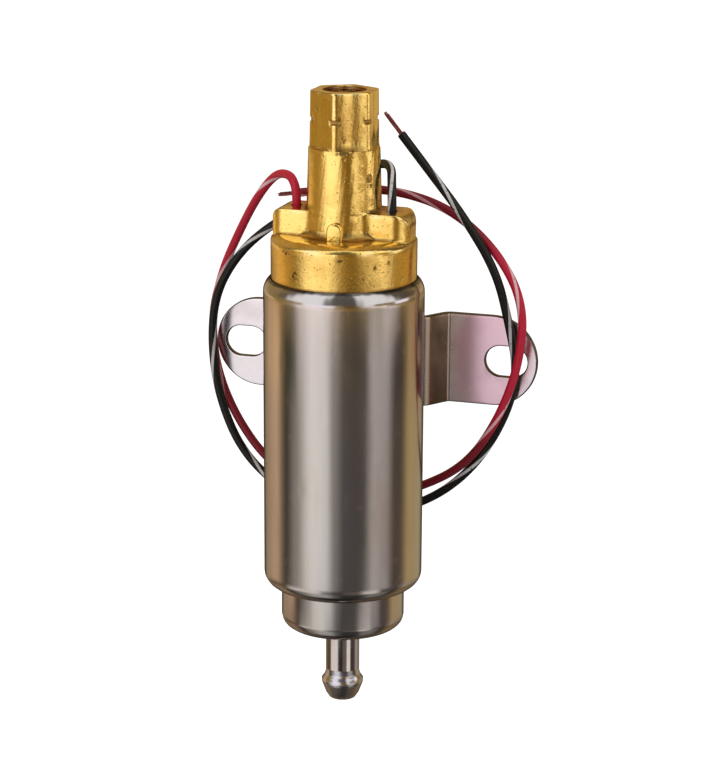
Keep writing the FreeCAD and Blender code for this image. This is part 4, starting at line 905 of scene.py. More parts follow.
class PUMP_OT_bracket(bpy.types.Operator):
    """Builds the hat-section bracket with its slotted round ears and spot-weld marks"""

    bl_idname = "pump.bracket"
    bl_label = "Mounting bracket"

    def execute(self, context):
        upper, marks = strap_grid(context.scene.pump_sizes)
        lower = upper * np.array([1.0, 1.0, -1.0])
        lift = np.array([0.0, 0.0, BRACKET_CENTRE])
        piece = new_piece("bracket_strap", [(upper + lift, False), (lower + lift, False)],
                          "bracket_zinc", ["mounting_bracket"], sharp=35, marks=[marks, marks])
        open_middle(piece.data, BRACKET_CENTRE)
        return {"FINISHED"}


def open_middle(mesh, height):
    """Takes out the inner faces where the bracket's two halves meet, and turns its faces outwards."""
    work = bmesh.new()
    work.from_mesh(mesh)
    level = height * MM + ORIGIN[2]
    inside = [face for face in work.faces if all(abs(vert.co.z - level) < 1e-7 for vert in face.verts)]
    bmesh.ops.delete(work, geom=inside, context="FACES_ONLY")
    bmesh.ops.recalc_face_normals(work, faces=work.faces)
    work.to_mesh(mesh)
    work.free()
    mesh.shade_smooth()
    mesh.set_sharp_from_angle(angle=math.radians(35))


def route_line(name, route, spacing=0.55):
    """Evenly spaced points of the smooth spline that has the route as its control points, in millimetres."""
    curve = bpy.data.curves.new(name, "CURVE")
    curve.dimensions = "3D"
    spline = curve.splines.new("NURBS")
    spline.points.add(len(route) - 1)
    places = np.concatenate([in_frame(route), np.ones((len(route), 1))], 1)
    spline.points.foreach_set("co", places.ravel())
    spline.order_u = 3
    spline.use_endpoint_u = True
    curve.resolution_u = 16
    holder = bpy.data.objects.new(name, curve)
    bpy.context.scene.collection.objects.link(holder)
    bpy.context.view_layer.update()
    line = bpy.data.meshes.new_from_object(holder.evaluated_get(bpy.context.evaluated_depsgraph_get()))
    points = np.zeros(len(line.vertices) * 3)
    line.vertices.foreach_get("co", points)
    points = (points.reshape(-1, 3) - ORIGIN) / MM
    bpy.data.meshes.remove(line)
    bpy.data.objects.remove(holder)
    bpy.data.curves.remove(curve)
    along = np.concatenate([[0], np.cumsum(np.linalg.norm(np.diff(points, axis=0), axis=1))])
    places = np.linspace(0, along[-1], int(along[-1] / spacing) + 1)
    return np.stack([np.interp(places, along, points[:, axis]) for axis in range(3)], -1)


def strand_grids(line, length, radius, wires=13):
    """The bare strands: thin wires round the lead's end, each a helix about the end's direction.

    Wire k runs at radius r_k and angle a_k + lay along the bundle, and flares a little at its cut end.
    """
    heading = line[-1] - line[-3]
    heading /= np.linalg.norm(heading)
    side = np.cross(heading, [0.0, 1.0, 0.0])
    side /= np.linalg.norm(side)
    over = np.cross(side, heading)
    wire = radius / 4.6
    grids = []
    for number in range(wires):
        inner = number < 4
        reach = (0.30 if inner else 0.76) * radius
        start = TURN * (number / 4 if inner else (number - 4) / (wires - 4))
        share = np.linspace(0, 1, 22)[:, None]
        angle = start + 2.1 * share
        flare = 1 + 0.10 * share ** 2 * math.cos(2.3 * number)
        cut = length * (0.92 + 0.08 * math.cos(1.7 * number + 0.4))
        path = (line[-1] - 0.4 * heading + heading * (cut + 0.4) * share
                + reach * flare * (np.cos(angle) * side + np.sin(angle) * over))
        grids.append((tube_grid(path, wire, 8), False))
    return grids


def coil_grid(low, high, wire, turns, sides=10):
    """A wire coil between two seats: (R cos t, R sin t, rise t) + r (cos a out + sin a over).

    out points away from the coil's axis, and over is square to it and to the wire. Both ends are cut flat.
    """
    radius = (high[0] - low[0] - wire) / 2
    turn = np.linspace(0, turns * TURN, 28 * turns + 1)
    rise = (high[2] - low[2] - wire) / turn[-1]
    out = np.stack([np.cos(turn), np.sin(turn), 0 * turn], -1)
    ahead = np.stack([-radius * np.sin(turn), radius * np.cos(turn), rise + 0 * turn], -1)
    ahead /= np.linalg.norm(ahead, axis=1, keepdims=True)
    over = np.cross(ahead, out)
    line = radius * out
    line[:, :2] += (low[:2] + high[:2]) / 2
    line[:, 2] = low[2] + wire / 2 + rise * turn
    angle = np.linspace(0, TURN, sides, endpoint=False)[None, :, None]
    section = wire / 2 * (np.cos(angle) * out[:, None] + np.sin(angle) * over[:, None])
    body = line[:, None] + section
    return np.concatenate([line[:1, None] + 0 * section[:1], body, line[-1:, None] + 0 * section[-1:]])


# Springs: what presses each one's moving end, whether that end is the lower one, its wire and its turns
SPRINGS = {
    "check_spring": ("check_poppet", True, 0.5, 4),
    "relief_spring": ("relief_poppet", False, 0.4, 5),
    "red_brush_spring": ("red_brush", True, 0.5, 6),
    "black_brush_spring": ("black_brush", True, 0.5, 6),
}


class PUMP_OT_springs(bpy.types.Operator):
    """Builds the springs as coils that fill their parts' boxes"""

    bl_idname = "pump.springs"
    bl_label = "Springs"

    def execute(self, context):
        for node, (presser, from_below, wire, turns) in SPRINGS.items():
            low, high = (np.array(corner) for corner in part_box(node))
            points = coil_grid((low - ORIGIN) / MM, (high - ORIGIN) / MM, wire, turns)
            coil = new_piece(f"{node}_coil", [(points, False)], "spring_steel", [node], body=None)
            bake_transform(coil)
        return {"FINISHED"}


class PUMP_OT_leads(bpy.types.Operator):
    """Builds the two striped leads and their bare strands"""

    bl_idname = "pump.leads"
    bl_label = "Leads"

    def execute(self, context):
        sizes = context.scene.pump_sizes
        radius = sizes.lead_diameter / MM / 2
        for lead, (route, length, bare) in LEADS.items():
            line = route_line(f"{lead}_route", route)
            tube = new_piece(f"{lead}_lead_insulation", [(tube_grid(line, radius, 24), False)],
                             f"{lead}_insulation", [f"{lead}_lead"])
            bundle = strand_grids(line, bare, sizes.strand_diameter / MM / 2)
            strands = new_piece(f"{lead}_lead_copper", bundle, "copper", [f"{lead}_lead_strands"], sharp=60)
        return {"FINISHED"}


# Finishes


def arithmetic(operation, swapped=False):
    """A method that places a Math node for a wire and the number or wire that it is combined with."""
    def combine(wire, other):
        first, second = (other, wire) if swapped else (wire, other)
        return wire.tree.math(operation, first, second)
    return combine


class Wire:
    """A node's output. Adding, subtracting, multiplying or dividing it places a Math node."""

    __add__ = arithmetic("ADD")
    __radd__ = arithmetic("ADD", True)
    __sub__ = arithmetic("SUBTRACT")
    __rsub__ = arithmetic("SUBTRACT", True)
    __mul__ = arithmetic("MULTIPLY")
    __truediv__ = arithmetic("DIVIDE")

    def __init__(self, tree, socket):
        self.tree = tree
        self.socket = socket


class Tree:
    """Places nodes in a shader tree and links them."""

    def __init__(self, tree):
        self.tree = tree
        self.count = 0

    def feed(self, value, socket):
        """Links a wire to a socket, or sets the socket's own value."""
        if isinstance(value, Wire):
            self.tree.links.new(value.socket, socket)
        elif socket.type == "RGBA":
            socket.default_value = (*value[:3], 1.0)
        else:
            socket.default_value = value

    def node(self, kind, inputs, **settings):
        made = self.tree.nodes.new(kind)
        made.location = (self.count % 7 * 230, -(self.count // 7) * 330)
        self.count += 1
        for key, value in settings.items():
            setattr(made, key, value)
        for key, value in inputs.items():
            self.feed(value, made.inputs[key])
        return made

    def wires(self, kind, inputs, outputs, **settings):
        """The wires from some outputs of a new node."""
        made = self.node(kind, inputs, **settings)
        return [Wire(self, made.outputs[each]) for each in outputs]

    def wire(self, kind, inputs, output=0, **settings):
        return self.wires(kind, inputs, [output], **settings)[0]

    def math(self, operation, first, second=0.0):
        return self.wire("ShaderNodeMath", {0: first, 1: second}, operation=operation)

    def vector(self, operation, first, second, output=0):
        return self.wire("ShaderNodeVectorMath", {0: first, 1: second}, output, operation=operation)

    def across(self, first, second):
        """The root of the sum of two squares."""
        return self.math("SQRT", first * first + second * second)

    def split(self, vector):
        return self.wires("ShaderNodeSeparateXYZ", {0: vector}, range(3))

    def marks(self, name):
        """The two parts of a UV map."""
        return self.split(self.wire("ShaderNodeUVMap", {}, uv_map=name))[:2]

    def span(self, value, low, high, to_low=0.0, to_high=1.0):
        """A soft step of the value from to_low at low to to_high at high."""
        inputs = {"Value": value, "From Min": low, "From Max": high, "To Min": to_low, "To Max": to_high}
        return self.wire("ShaderNodeMapRange", inputs, "Result", interpolation_type="SMOOTHSTEP")

    def blend(self, share, first, second):
        return self.wire("ShaderNodeMix", {0: share, 6: first, 7: second}, 2, data_type="RGBA",
                         clamp_factor=True)

    def coated(self, colour, *coats):
        """The colour under coats of other tones, each given with the share that it covers."""
        for share, tone in coats:
            colour = self.blend(share, colour, tone)
        return colour

    def noise(self, vector, scale, detail=2.0, roughness=0.5, distortion=0.0):
        inputs = {"Vector": vector, "Scale": scale, "Detail": detail, "Roughness": roughness,
                  "Distortion": distortion}
        return self.wire("ShaderNodeTexNoise", inputs, "Fac")

    def stretched(self, vector, scale, location=(0, 0, 0)):
        return self.wire("ShaderNodeMapping", {"Vector": vector, "Scale": scale, "Location": location})

    def effect(self, name, vector, **inputs):
        """The wires from a shared effect, whose other inputs are given by their names."""
        group, outputs = GROUPS[name]
        given = {"Vector": vector}
        given.update((key.capitalize(), value) for key, value in inputs.items())
        return self.wires("ShaderNodeGroup", given, outputs, node_tree=group)

    def put_out(self, *wires):
        """Links the wires to a group's outputs."""
        made = self.node("NodeGroupOutput", {})
        for wire, socket in zip(wires, made.inputs):
            self.feed(wire, socket)


GROUPS = {}
FINISHES = {}


def new_group(name, inputs, outputs):
    """A shader node group that takes a vector and the named inputs: its tree, and the inputs' wires."""
    group = bpy.data.node_groups.new(name, "ShaderNodeTree")
    group.interface.new_socket("Vector", in_out="INPUT", socket_type="NodeSocketVector")
    for label, default in inputs.items():
        socket = group.interface.new_socket(label, in_out="INPUT", socket_type="NodeSocketFloat")
        socket.default_value = default
    for label in outputs:
        group.interface.new_socket(label, in_out="OUTPUT", socket_type="NodeSocketFloat")
    GROUPS[name] = (group, outputs)
    tree = Tree(group)
    return tree, tree.wires("NodeGroupInput", {}, ["Vector", *inputs])


def build_groups():
    """The effects that the finishes share."""
    tree, (vector, fineness, length) = new_group(
        "upright_lines", {"Fineness": 2600.0, "Length": 0.02}, ["Lines"])
    squash = tree.wire("ShaderNodeCombineXYZ", {0: 1.0, 1: 1.0, 2: length})
    drawn = tree.vector("MULTIPLY", vector, squash)
    tree.put_out(tree.noise(drawn, fineness, 3.0, 0.65) * 0.6 + tree.noise(drawn, fineness * 0.22) * 0.4)

    tree, (vector, size, low, high) = new_group(
        "blotches", {"Size": 120.0, "Low": 0.45, "High": 0.62}, ["Mask"])
    tree.put_out(tree.span(tree.noise(vector, size, 4.0, 0.55, 0.4), low, high))

    tree, (vector, density, radius, share) = new_group(
        "pits", {"Density": 500.0, "Radius": 0.2, "Share": 0.3}, ["Mask", "Depth"])
    moved = tree.vector("ADD", vector, tree.noise(vector, 900.0) * 0.0009)
    tone, distance = tree.wires("ShaderNodeTexVoronoi", {"Vector": moved, "Scale": density},
                                ["Color", "Distance"])
    chosen = tree.wire("ShaderNodeSeparateColor", {0: tone})
    size = radius * (0.5 + chosen / share)
    mask = tree.span(distance, size, size * 0.35) * tree.math("LESS_THAN", chosen, share)
    tree.put_out(mask, mask * -1.0)

    # Pointiness: the Mask output marks worn convex edges, and the Crevice output marks concave creases, which
    # the shell darkens as painted shade
    tree, (vector, level, width) = new_group(
        "edge_wear_and_crevice_shade", {"Level": 0.52, "Width": 0.05}, ["Mask", "Crevice shade"])
    broken = (tree.noise(vector, 700.0, 3.0) - 0.5) * 0.05
    point = tree.wire("ShaderNodeNewGeometry", {}, "Pointiness") + broken
    low = 1.0 - level
    tree.put_out(tree.span(point, level, level + width), tree.span(point, low, low - width))

    tree, (vector, size, tilt, share) = new_group(
        "scratches", {"Size": 260.0, "Tilt": 0.6, "Share": 0.5}, ["Mask"])
    turned = tree.wire("ShaderNodeVectorRotate", {"Vector": vector, "Angle": tilt, "Axis": (0.3, 1.0, 0.2)})
    line = tree.noise(tree.stretched(turned, (1.0, 1.0, 0.045)), size * 9.0, 1.0)
    thin = tree.span(tree.math("ABSOLUTE", line - 0.5), 0.014, 0.0)
    tree.put_out(thin * tree.span(tree.noise(vector, size), share, share + 0.12))

    tree, (vector, size) = new_group("grain", {"Size": 2000.0}, ["Grain", "Soft"])
    tree.put_out(tree.noise(vector, size, 4.0, 0.6), tree.noise(vector, size * 0.18, 3.0))


def new_finish(name, shader_kind="ShaderNodeBsdfPrincipled"):
    """An empty material's tree, its shader and its object coordinates."""
    material = bpy.data.materials.new(name)
    material.use_nodes = True
    material.node_tree.nodes.clear()
    tree = Tree(material.node_tree)
    shader = tree.node(shader_kind, {})
    tree.node("ShaderNodeOutputMaterial", {0: Wire(tree, shader.outputs[0])})
    FINISHES[name] = material
    return tree, shader, tree.wire("ShaderNodeTexCoord", {}, "Object")


def complete(tree, shader, colour, rough, height, distance, metallic=1.0):
    """Feeds the shader its colour, its roughness, and a relief of height times distance, in metres."""
    relief = tree.wire("ShaderNodeBump", {"Height": height, "Distance": distance, "Strength": 1.0})
    given = {"Base Color": colour, "Roughness": rough, "Normal": relief, "Metallic": metallic}
    for name, value in given.items():
        tree.feed(value, shader.inputs[name])


def about_axis(tree, place):
    """A place in the frame as millimetres about the pump's axis."""
    return tree.vector("MULTIPLY", tree.vector("SUBTRACT", place, ORIGIN.tolist()), (1 / MM,) * 3)


def facing_up(tree):
    """The upward part of the surface's normal."""
    return tree.split(tree.wire("ShaderNodeNewGeometry", {}, "Normal"))[2]


def painted_cool_sheen_share(tree):
    """Where a steel round turns upward, from 0 to 1; the steel finishes paint a cool reflection tint there.
    """
    return tree.span(facing_up(tree), 0.02, 0.12)


def build_shell_finish(colours):
    """Satin plated steel with upright drawing lines, soft stains and hair scratches, painted shade in creases
    and along the lip's joint with the disc, and a painted cool reflection tint where it turns up.
    """
    tree, shader, place = new_finish("shell_steel")
    lines, broad, hue = (tree.effect("upright_lines", place, fineness=fineness, length=length)[0]
                         for fineness, length in ((2400.0, 0.015), (420.0, 0.04), (230.0, 0.05)))
    stain = tree.effect("blotches", tree.stretched(place, (1, 1, 0.35)), size=95.0, low=0.46, high=0.7)[0]
    hair = tree.effect("scratches", place, size=210.0, tilt=0.35, share=0.56)[0]
    crevice_shade = tree.effect("edge_wear_and_crevice_shade", place, level=0.54, width=0.06)[1]
    across, back, height = tree.split(about_axis(tree, place))
    ragged = tree.across(across, back) + tree.noise(place, 700.0) * 0.5
    seam_shade = tree.span(ragged, *SEAM_EDGE) * tree.span(height, *SEAM_HEIGHT)
    warm = [channel * share for channel, share in zip(colours.shell, (0.9, 0.82, 0.72))]
    bright = [min(1.0, channel * 1.2) for channel in colours.shell]
    colour = tree.coated(
        colours.shell,
        (stain * 0.55, warm),
        (tree.span(broad, 0.35, 0.65, 0.0, 0.35), [channel * 0.84 for channel in colours.shell]),
        (tree.span(hue, 0.52, 0.64, 0.0, 0.45), (0.62, 0.50, 0.47)),
        (tree.span(hue, 0.48, 0.36, 0.0, 0.45), (0.56, 0.53, 0.42)),
        (hair * 0.35, bright),
        # painted shade in creases
        (crevice_shade * 0.5, (0.16, 0.12, 0.09)),
        # painted cool reflection tint on upturned rounds
        (painted_cool_sheen_share(tree) * 0.6, (0.55, 0.54, 0.57)),
        # painted shade along the lip's joint with the disc
        (seam_shade * 0.85, (0.05, 0.04, 0.03)))
    complete(tree, shader, colour, 0.11 + lines * 0.09 + stain * 0.05, lines + hair * -0.6, 0.000006)


def build_nipple_finish(colours):
    """Brighter turned steel, frosted below the bead, with fine rings, and a painted cool reflection tint
    where it turns up.
    """
    tree, shader, place = new_finish("nipple_steel")
    rings = tree.noise(tree.stretched(place, (0.02, 0.02, 1.0)), 5200.0)
    stain = tree.effect("blotches", place, size=260.0, low=0.5, high=0.72)[0]
    wear = tree.effect("edge_wear_and_crevice_shade", place, level=0.53, width=0.05)[0]
    frost = tree.span(tree.split(about_axis(tree, place))[2], *FROST_HEIGHT)
    grain = tree.effect("grain", place, size=5200.0)[0]
    cool_sheen_share = painted_cool_sheen_share(tree)
    colour = tree.coated(
        colours.nipple,
        (stain * 0.4, [channel * 0.78 for channel in colours.nipple]),
        (wear * 0.6, (0.86, 0.84, 0.82)),
        # painted cool reflection tint on upturned rounds
        (cool_sheen_share * 0.8, (0.54, 0.55, 0.62)))
    rough = 0.05 + rings * 0.06 + cool_sheen_share * 0.1 + frost * 0.22
    complete(tree, shader, colour, rough, rings * 0.5 + grain * frost, 0.000007)


def build_bracket_finish(colours):
    """Zinc plate with a pink cast on one leg and ear, painted dark tan shade on the right leg, nearly black
    sheared edges, and a soft mill grain.
    """
    tree, shader, place = new_finish("bracket_zinc")
    across = tree.split(about_axis(tree, place))[0]
    drift = across + (tree.noise(place, 60.0, 3.0) - 0.5) * 20.0
    pink = tree.span(drift, 19.0, 25.0) * tree.span(drift, 40.0, 34.0, 0.15, 1.0)
    tan = tree.span(across, 13.5, 15.5) * tree.span(across, 20.0, 18.5)
    stain = tree.effect("blotches", place, size=170.0, low=0.5, high=0.74)[0]
    mill = tree.noise(tree.stretched(place, (0.03, 0.03, 1.0)), 3400.0)
    colour = tree.coated(
        colours.bracket,
        (pink, colours.bracket_tint),
        # painted dark tan shade on the right leg
        (tan * 0.95, (0.50, 0.41, 0.27)),
        (stain * 0.2, (0.50, 0.43, 0.38)),
        # nearly black sheared edges: the bare steel's own darker tone, deepened by a painted dark outline
        (tree.marks("Marks")[1] * 0.92, (0.06, 0.05, 0.045)))
    complete(tree, shader, colour, 0.20 + mill * 0.05 + stain * 0.06, mill, 0.0000015)


def build_brass_finish(name, colours, tarnished, shade, roughness, skin):
    """Cast brass: a grainy skin with pits, brown film on level faces and bright worn edges, with painted
    shade in hollows and round the lead holes; shade darkens it all, as painted shade for the thread in the
    mouth.
    """
    tree, shader, place = new_finish(name)
    grain, soft = tree.effect("grain", place, size=1500.0)
    pits, pit_depth = tree.effect("pits", place, density=430.0, radius=0.20, share=0.16)
    specks, speck_depth = tree.effect("pits", tree.stretched(place, (1, 1, 1), (0.3, 0.1, 0.2)),
                                      density=1500.0, radius=0.30, share=0.22)
    film = tree.effect("blotches", place, size=150.0, low=0.5 - tarnished * 0.2, high=0.72)[0]
    smears = tree.effect("upright_lines", place, fineness=330.0, length=0.18)[0]
    level = tree.span(facing_up(tree), 0.75, 0.97) * tree.span(soft, 0.36, 0.6)
    spot = about_axis(tree, place)
    across, back, height = tree.split(spot)
    from_hole = tree.across(tree.math("ABSOLUTE", across) - LEAD_X, back)
    shade_round_hole = tree.span(from_hole, 3.6, 2.1) * tree.span(height, 119.0, 121.0)
    hollow_shade, worn = tree.marks("Marks")
    hollow_shade = hollow_shade * tree.span(soft, 0.2, 0.5, 0.4, 1.0)
    near = 0.0
    for centre, size in PORE_PATCHES:
        away = tree.vector("DIVIDE", tree.vector("SUBTRACT", spot, centre), size)
        away = tree.vector("LENGTH", away, (0, 0, 0), "Value")
        near = tree.math("MAXIMUM", near, tree.span(away, 1.0, 0.2))
    pores = tree.span(tree.noise(place, 1100.0, 4.0, 0.6) + near * 0.21, 0.67, 0.75)
    colour = tree.coated(
        colours.brass,
        (film * 0.30, colours.tarnish),
        (tree.span(smears, 0.5, 0.72, 0.0, 0.35), (0.72, 0.40, 0.09)),
        (level * 0.5, (0.62, 0.30, 0.06)),
        # painted reddish shade round the lead holes
        (shade_round_hole * 0.6, (0.52, 0.17, 0.07)),
        (near * 0.25, (0.62, 0.30, 0.06)),
        # painted shade in hollows
        (hollow_shade * 0.8, (0.20, 0.075, 0.012)),
        (worn * tree.span(soft, 0.62, 0.42) * 0.7, (1.0, 0.80, 0.40)),
        (pits * 0.42, (0.20, 0.08, 0.02)),
        (specks * 0.35, (0.30, 0.14, 0.03)),
        (pores * 0.8, (0.16, 0.06, 0.012)),
        # painted shade over the whole finish, for the thread deep in the mouth
        (shade, (0.22, 0.07, 0.03)))
    rough = roughness + film * 0.08 + grain * 0.08 + hollow_shade * 0.15
    height = grain + soft * 1.5 + pit_depth * 2.2 + speck_depth - pores * 2.4
    complete(tree, shader, colour, rough, height, skin)


def build_lead_finish(name, colour, stripe, pitch, start, extra, shaded_stretches):
    """Insulation with a printed tracer that winds round it, read from the tube's UV map.

    The tracer's place round the lead is start + distance / pitch, plus the extra twists, each a share of a
    turn that the lead takes between two distances along it. Whole turns and a half are added, so that its
    middle lies at a half. The last argument holds the stretches that get painted shade: darker insulation and
    a dimmer tracer. All distances are in millimetres.
    """
    tree, shader, place = new_finish(name)
    winding, along = tree.marks("UVMap")
    along = along * (1 / MM)
    winding = winding - along / (pitch / MM)
    for turns, begin, end in extra:
        winding = winding - tree.span(along, begin, end, 0.0, turns)
    share = tree.math("FRACT", winding + (10.5 - start))
    worn = tree.span(tree.noise(place, 1400.0, 3.0), 0.26, 0.40)
    line = tree.span(tree.math("ABSOLUTE", share - 0.5), 0.068, 0.045) * worn
    soft = tree.effect("grain", place, size=2600.0)[1]
    dust = tree.effect("blotches", place, size=420.0, low=0.52, high=0.8)[0]
    stretch_shade = 0.0
    for begin, end in shaded_stretches:
        stretch = tree.span(along, begin - 8, begin + 8) * tree.span(along, end + 8, end - 8)
        stretch_shade = tree.math("MAXIMUM", stretch_shade, stretch)
    stripe = tree.blend(tree.math("MULTIPLY", stretch_shade, 0.35), stripe, colour)
    tone = tree.coated(
        colour,
        (dust * 0.14, [0.6 * channel + 0.03 for channel in colour]),
        # painted shade over the listed stretches
        (tree.math("MULTIPLY", stretch_shade, 0.8), [0.26 * channel for channel in colour]),
        (line, stripe))
    shader.inputs["Specular IOR Level"].default_value = 0.35
    complete(tree, shader, tone, 0.30 + soft * 0.2, soft + line * 0.3, 0.00002, metallic=0.0)


def build_plain_finish(name, colour, dark, metallic, roughness, size, depth, lined):
    """A finish of two tones in soft patches, with grain or drawn lines in roughness and relief."""
    tree, shader, place = new_finish(name)
    if lined:
        grain = tree.effect("upright_lines", place, fineness=size, length=0.03)[0]
    else:
        grain = tree.effect("grain", place, size=size)[0]
    patch = tree.effect("blotches", place, size=220.0, low=0.42, high=0.68)[0]
    wear = tree.effect("edge_wear_and_crevice_shade", place, level=0.54, width=0.06)[0]
    bright = [min(1.0, channel * 1.3 + 0.02) for channel in colour]
    tone = tree.coated(colour, (patch * 0.7, dark), (wear * 0.4, bright))
    complete(tree, shader, tone, roughness - 0.08 + grain * 0.16, grain, depth, metallic)


# In millimetres: where the can's lip meets the disc and gets painted shade, as radii and heights, and where
# the nipple's frost ends
SEAM_EDGE = (18.4, 18.0)
SEAM_HEIGHT = (98.0, 100.0)
FROST_HEIGHT = (4.4, 3.6)

# Rough porous places of the casting, in millimetres: each one's middle, and its reach along each axis
PORE_PATCHES = [
    ((4.0, -16.7, 113.0), (2.0, 2.0, 1.0)),
    ((-6.9, -15.7, 108.6), (1.6, 1.6, 2.2)),
    ((8.9, -14.7, 109.2), (1.1, 1.1, 1.8)),
    ((11.3, -12.9, 111.0), (0.8, 0.8, 1.6)),
    ((7.6, -4.4, 129.8), (1.8, 1.8, 3.0)),
    ((4.6, -7.4, 136.6), (1.6, 1.6, 0.9)),
    ((15.2, -3.4, 118.6), (1.6, 1.6, 2.2)),
    ((-9.4, -14.4, 113.6), (2.2, 2.2, 0.9)),
    ((2.2, -7.0, 138.6), (0.9, 0.9, 1.4)),
]

# Inner and small pieces: colour, darker tone, metallic, roughness, grain size, relief, drawn lines
PLAIN_FINISHES = {
    "enamelled_copper": ((0.55, 0.18, 0.06), (0.32, 0.08, 0.03), 1.0, 0.28, 2200.0, 0.00002, True),
    "bearing_bronze": ((0.52, 0.33, 0.14), (0.36, 0.20, 0.08), 1.0, 0.42, 2600.0, 0.00002, False),
    "sintered_iron": ((0.26, 0.25, 0.24), (0.17, 0.165, 0.16), 1.0, 0.45, 3000.0, 0.00002, False),
    "lamination_steel": ((0.42, 0.41, 0.40), (0.28, 0.27, 0.26), 1.0, 0.38, 2400.0, 0.00002, False),
    "ferrite": ((0.055, 0.052, 0.05), (0.035, 0.033, 0.032), 0.0, 0.6, 2200.0, 0.00003, False),
    "shaft_steel": ((0.60, 0.59, 0.58), (0.48, 0.47, 0.46), 1.0, 0.18, 4200.0, 0.000004, True),
    "spring_steel": ((0.50, 0.49, 0.47), (0.34, 0.33, 0.31), 1.0, 0.26, 3600.0, 0.000005, False),
    "carbon": ((0.035, 0.034, 0.034), (0.02, 0.02, 0.02), 0.0, 0.55, 3000.0, 0.00002, False),
    "moulded_plastic": ((0.05, 0.045, 0.04), (0.03, 0.028, 0.025), 0.0, 0.45, 2600.0, 0.00001, False),
    "acetal": ((0.74, 0.72, 0.66), (0.62, 0.59, 0.52), 0.0, 0.4, 2000.0, 0.00001, False),
    "steel_mesh": ((0.50, 0.49, 0.47), (0.34, 0.33, 0.32), 1.0, 0.32, 5200.0, 0.00001, False),
    "seal_rubber": ((0.022, 0.02, 0.019), (0.05, 0.04, 0.034), 0.0, 0.62, 2600.0, 0.00003, False),
    "copper": ((0.40, 0.13, 0.12), (0.10, 0.03, 0.03), 1.0, 0.34, 3600.0, 0.00001, False),
}


class PUMP_OT_finishes(bpy.types.Operator):
    """Builds the finishes and gives every frame node the finish of its slot"""

    bl_idname = "pump.finishes"
    bl_label = "Finishes"

    def execute(self, context):
        colours = context.scene.pump_colours
        sizes = context.scene.pump_sizes
        build_groups()
        build_shell_finish(colours)
        build_nipple_finish(colours)
        build_bracket_finish(colours)
        build_brass_finish("brass", colours, 0.35, 0.0, 0.12, 0.00003)
        build_brass_finish("brass_thread", colours, 1.0, 0.85, 0.24, 0.00002)
        # painted shade on the red lead's lower loop and on its end behind the boss
        build_lead_finish("red_insulation", colours.red, colours.red_stripe, sizes.red_stripe_pitch, 0.865,
                          [(0.37, 60.0, 170.0)], [(68.0, 176.0), (224.0, 290.0)])
        build_lead_finish("black_insulation", colours.black, colours.stripe, sizes.black_stripe_pitch, 0.30,
                          [(0.5, 20.0, 55.0), (0.5, 110.0, 180.0)], [])
        for name, values in PLAIN_FINISHES.items():
            build_plain_finish(name, *values)
        for entry in frame["record"]["subparts"]:
            finish = FINISHES[entry["material_slot"]]
            for held in frame["nodes"][entry["node"]].material_slots:
                held.material = finish
        return {"FINISHED"}


# Stage


FLOOR_HEIGHT = -0.36
FLOOR_HALF = 6.0
FLOOR_CORNERS = ((-1, -1), (1, -1), (1, 1), (-1, 1))
SKY_LIGHT = 0.62
SURROUND_RADIUS = 0.42
SURROUND_TOP = 0.42
ROW_BLEND = 0.006


class PUMP_OT_stage(bpy.types.Operator):
    """Builds the floor, the surround that the metal reflects, the lamps, the world and the camera"""

    bl_idname = "pump.stage"
    bl_label = "Stage"

    def execute(self, context):
        scene = context.scene
        scene.view_settings.view_transform = "Standard"
        build_world(scene)
        build_floor()
        build_surround()
        build_lamps()
        build_camera(scene)
        return {"FINISHED"}


def seen_share(tree):
    """1 for rays that show the background: camera, glossy and transmission rays."""
    rays = tree.wires("ShaderNodeLightPath", {}, ["Is Camera Ray", "Is Glossy Ray", "Is Transmission Ray"])
    return tree.math("MAXIMUM", tree.math("MAXIMUM", rays[0], rays[1]), rays[2])


def build_world(scene):
    """White where it is seen or reflected, and plain grey light on everything else."""
    world = bpy.data.worlds.new("studio")
    world.use_nodes = True
    world.node_tree.nodes.clear()
    tree = Tree(world.node_tree)
    strength = tree.span(seen_share(tree), 0.0, 1.0, SKY_LIGHT, 1.0)
    shader = tree.wire("ShaderNodeBackground", {"Color": (1, 1, 1), "Strength": strength})
    tree.node("ShaderNodeOutputWorld", {0: shader})
    scene.world = world


def stage_piece(name, points, faces, finish):
    """A piece of the studio, which isn't part of the pump."""
    mesh = bpy.data.meshes.new(name)
    mesh.from_pydata(points, [], faces)
    mesh.materials.append(FINISHES[finish])
    piece = bpy.data.objects.new(name, mesh)
    bpy.context.scene.collection.objects.link(piece)
    return piece


def build_floor():
    """A pale floor well below the pump; it takes shadows, and is white where it is seen."""
    tree, shader, place = new_finish("floor_paper")
    paper = tree.blend(tree.noise(place, 40.0), (0.80, 0.80, 0.80), (0.83, 0.83, 0.83))
    glow = seen_share(tree) * SKY_LIGHT
    given = {"Base Color": paper, "Roughness": 1.0, "Specular IOR Level": 0.0, "Emission Color": (1, 1, 1),
             "Emission Strength": glow}
    for name, value in given.items():
        tree.feed(value, shader.inputs[name])
    corners = [(x * FLOOR_HALF, y * FLOOR_HALF, FLOOR_HEIGHT) for x, y in FLOOR_CORNERS]
    stage_piece("floor", corners, [(0, 1, 2, 3)], "floor_paper")


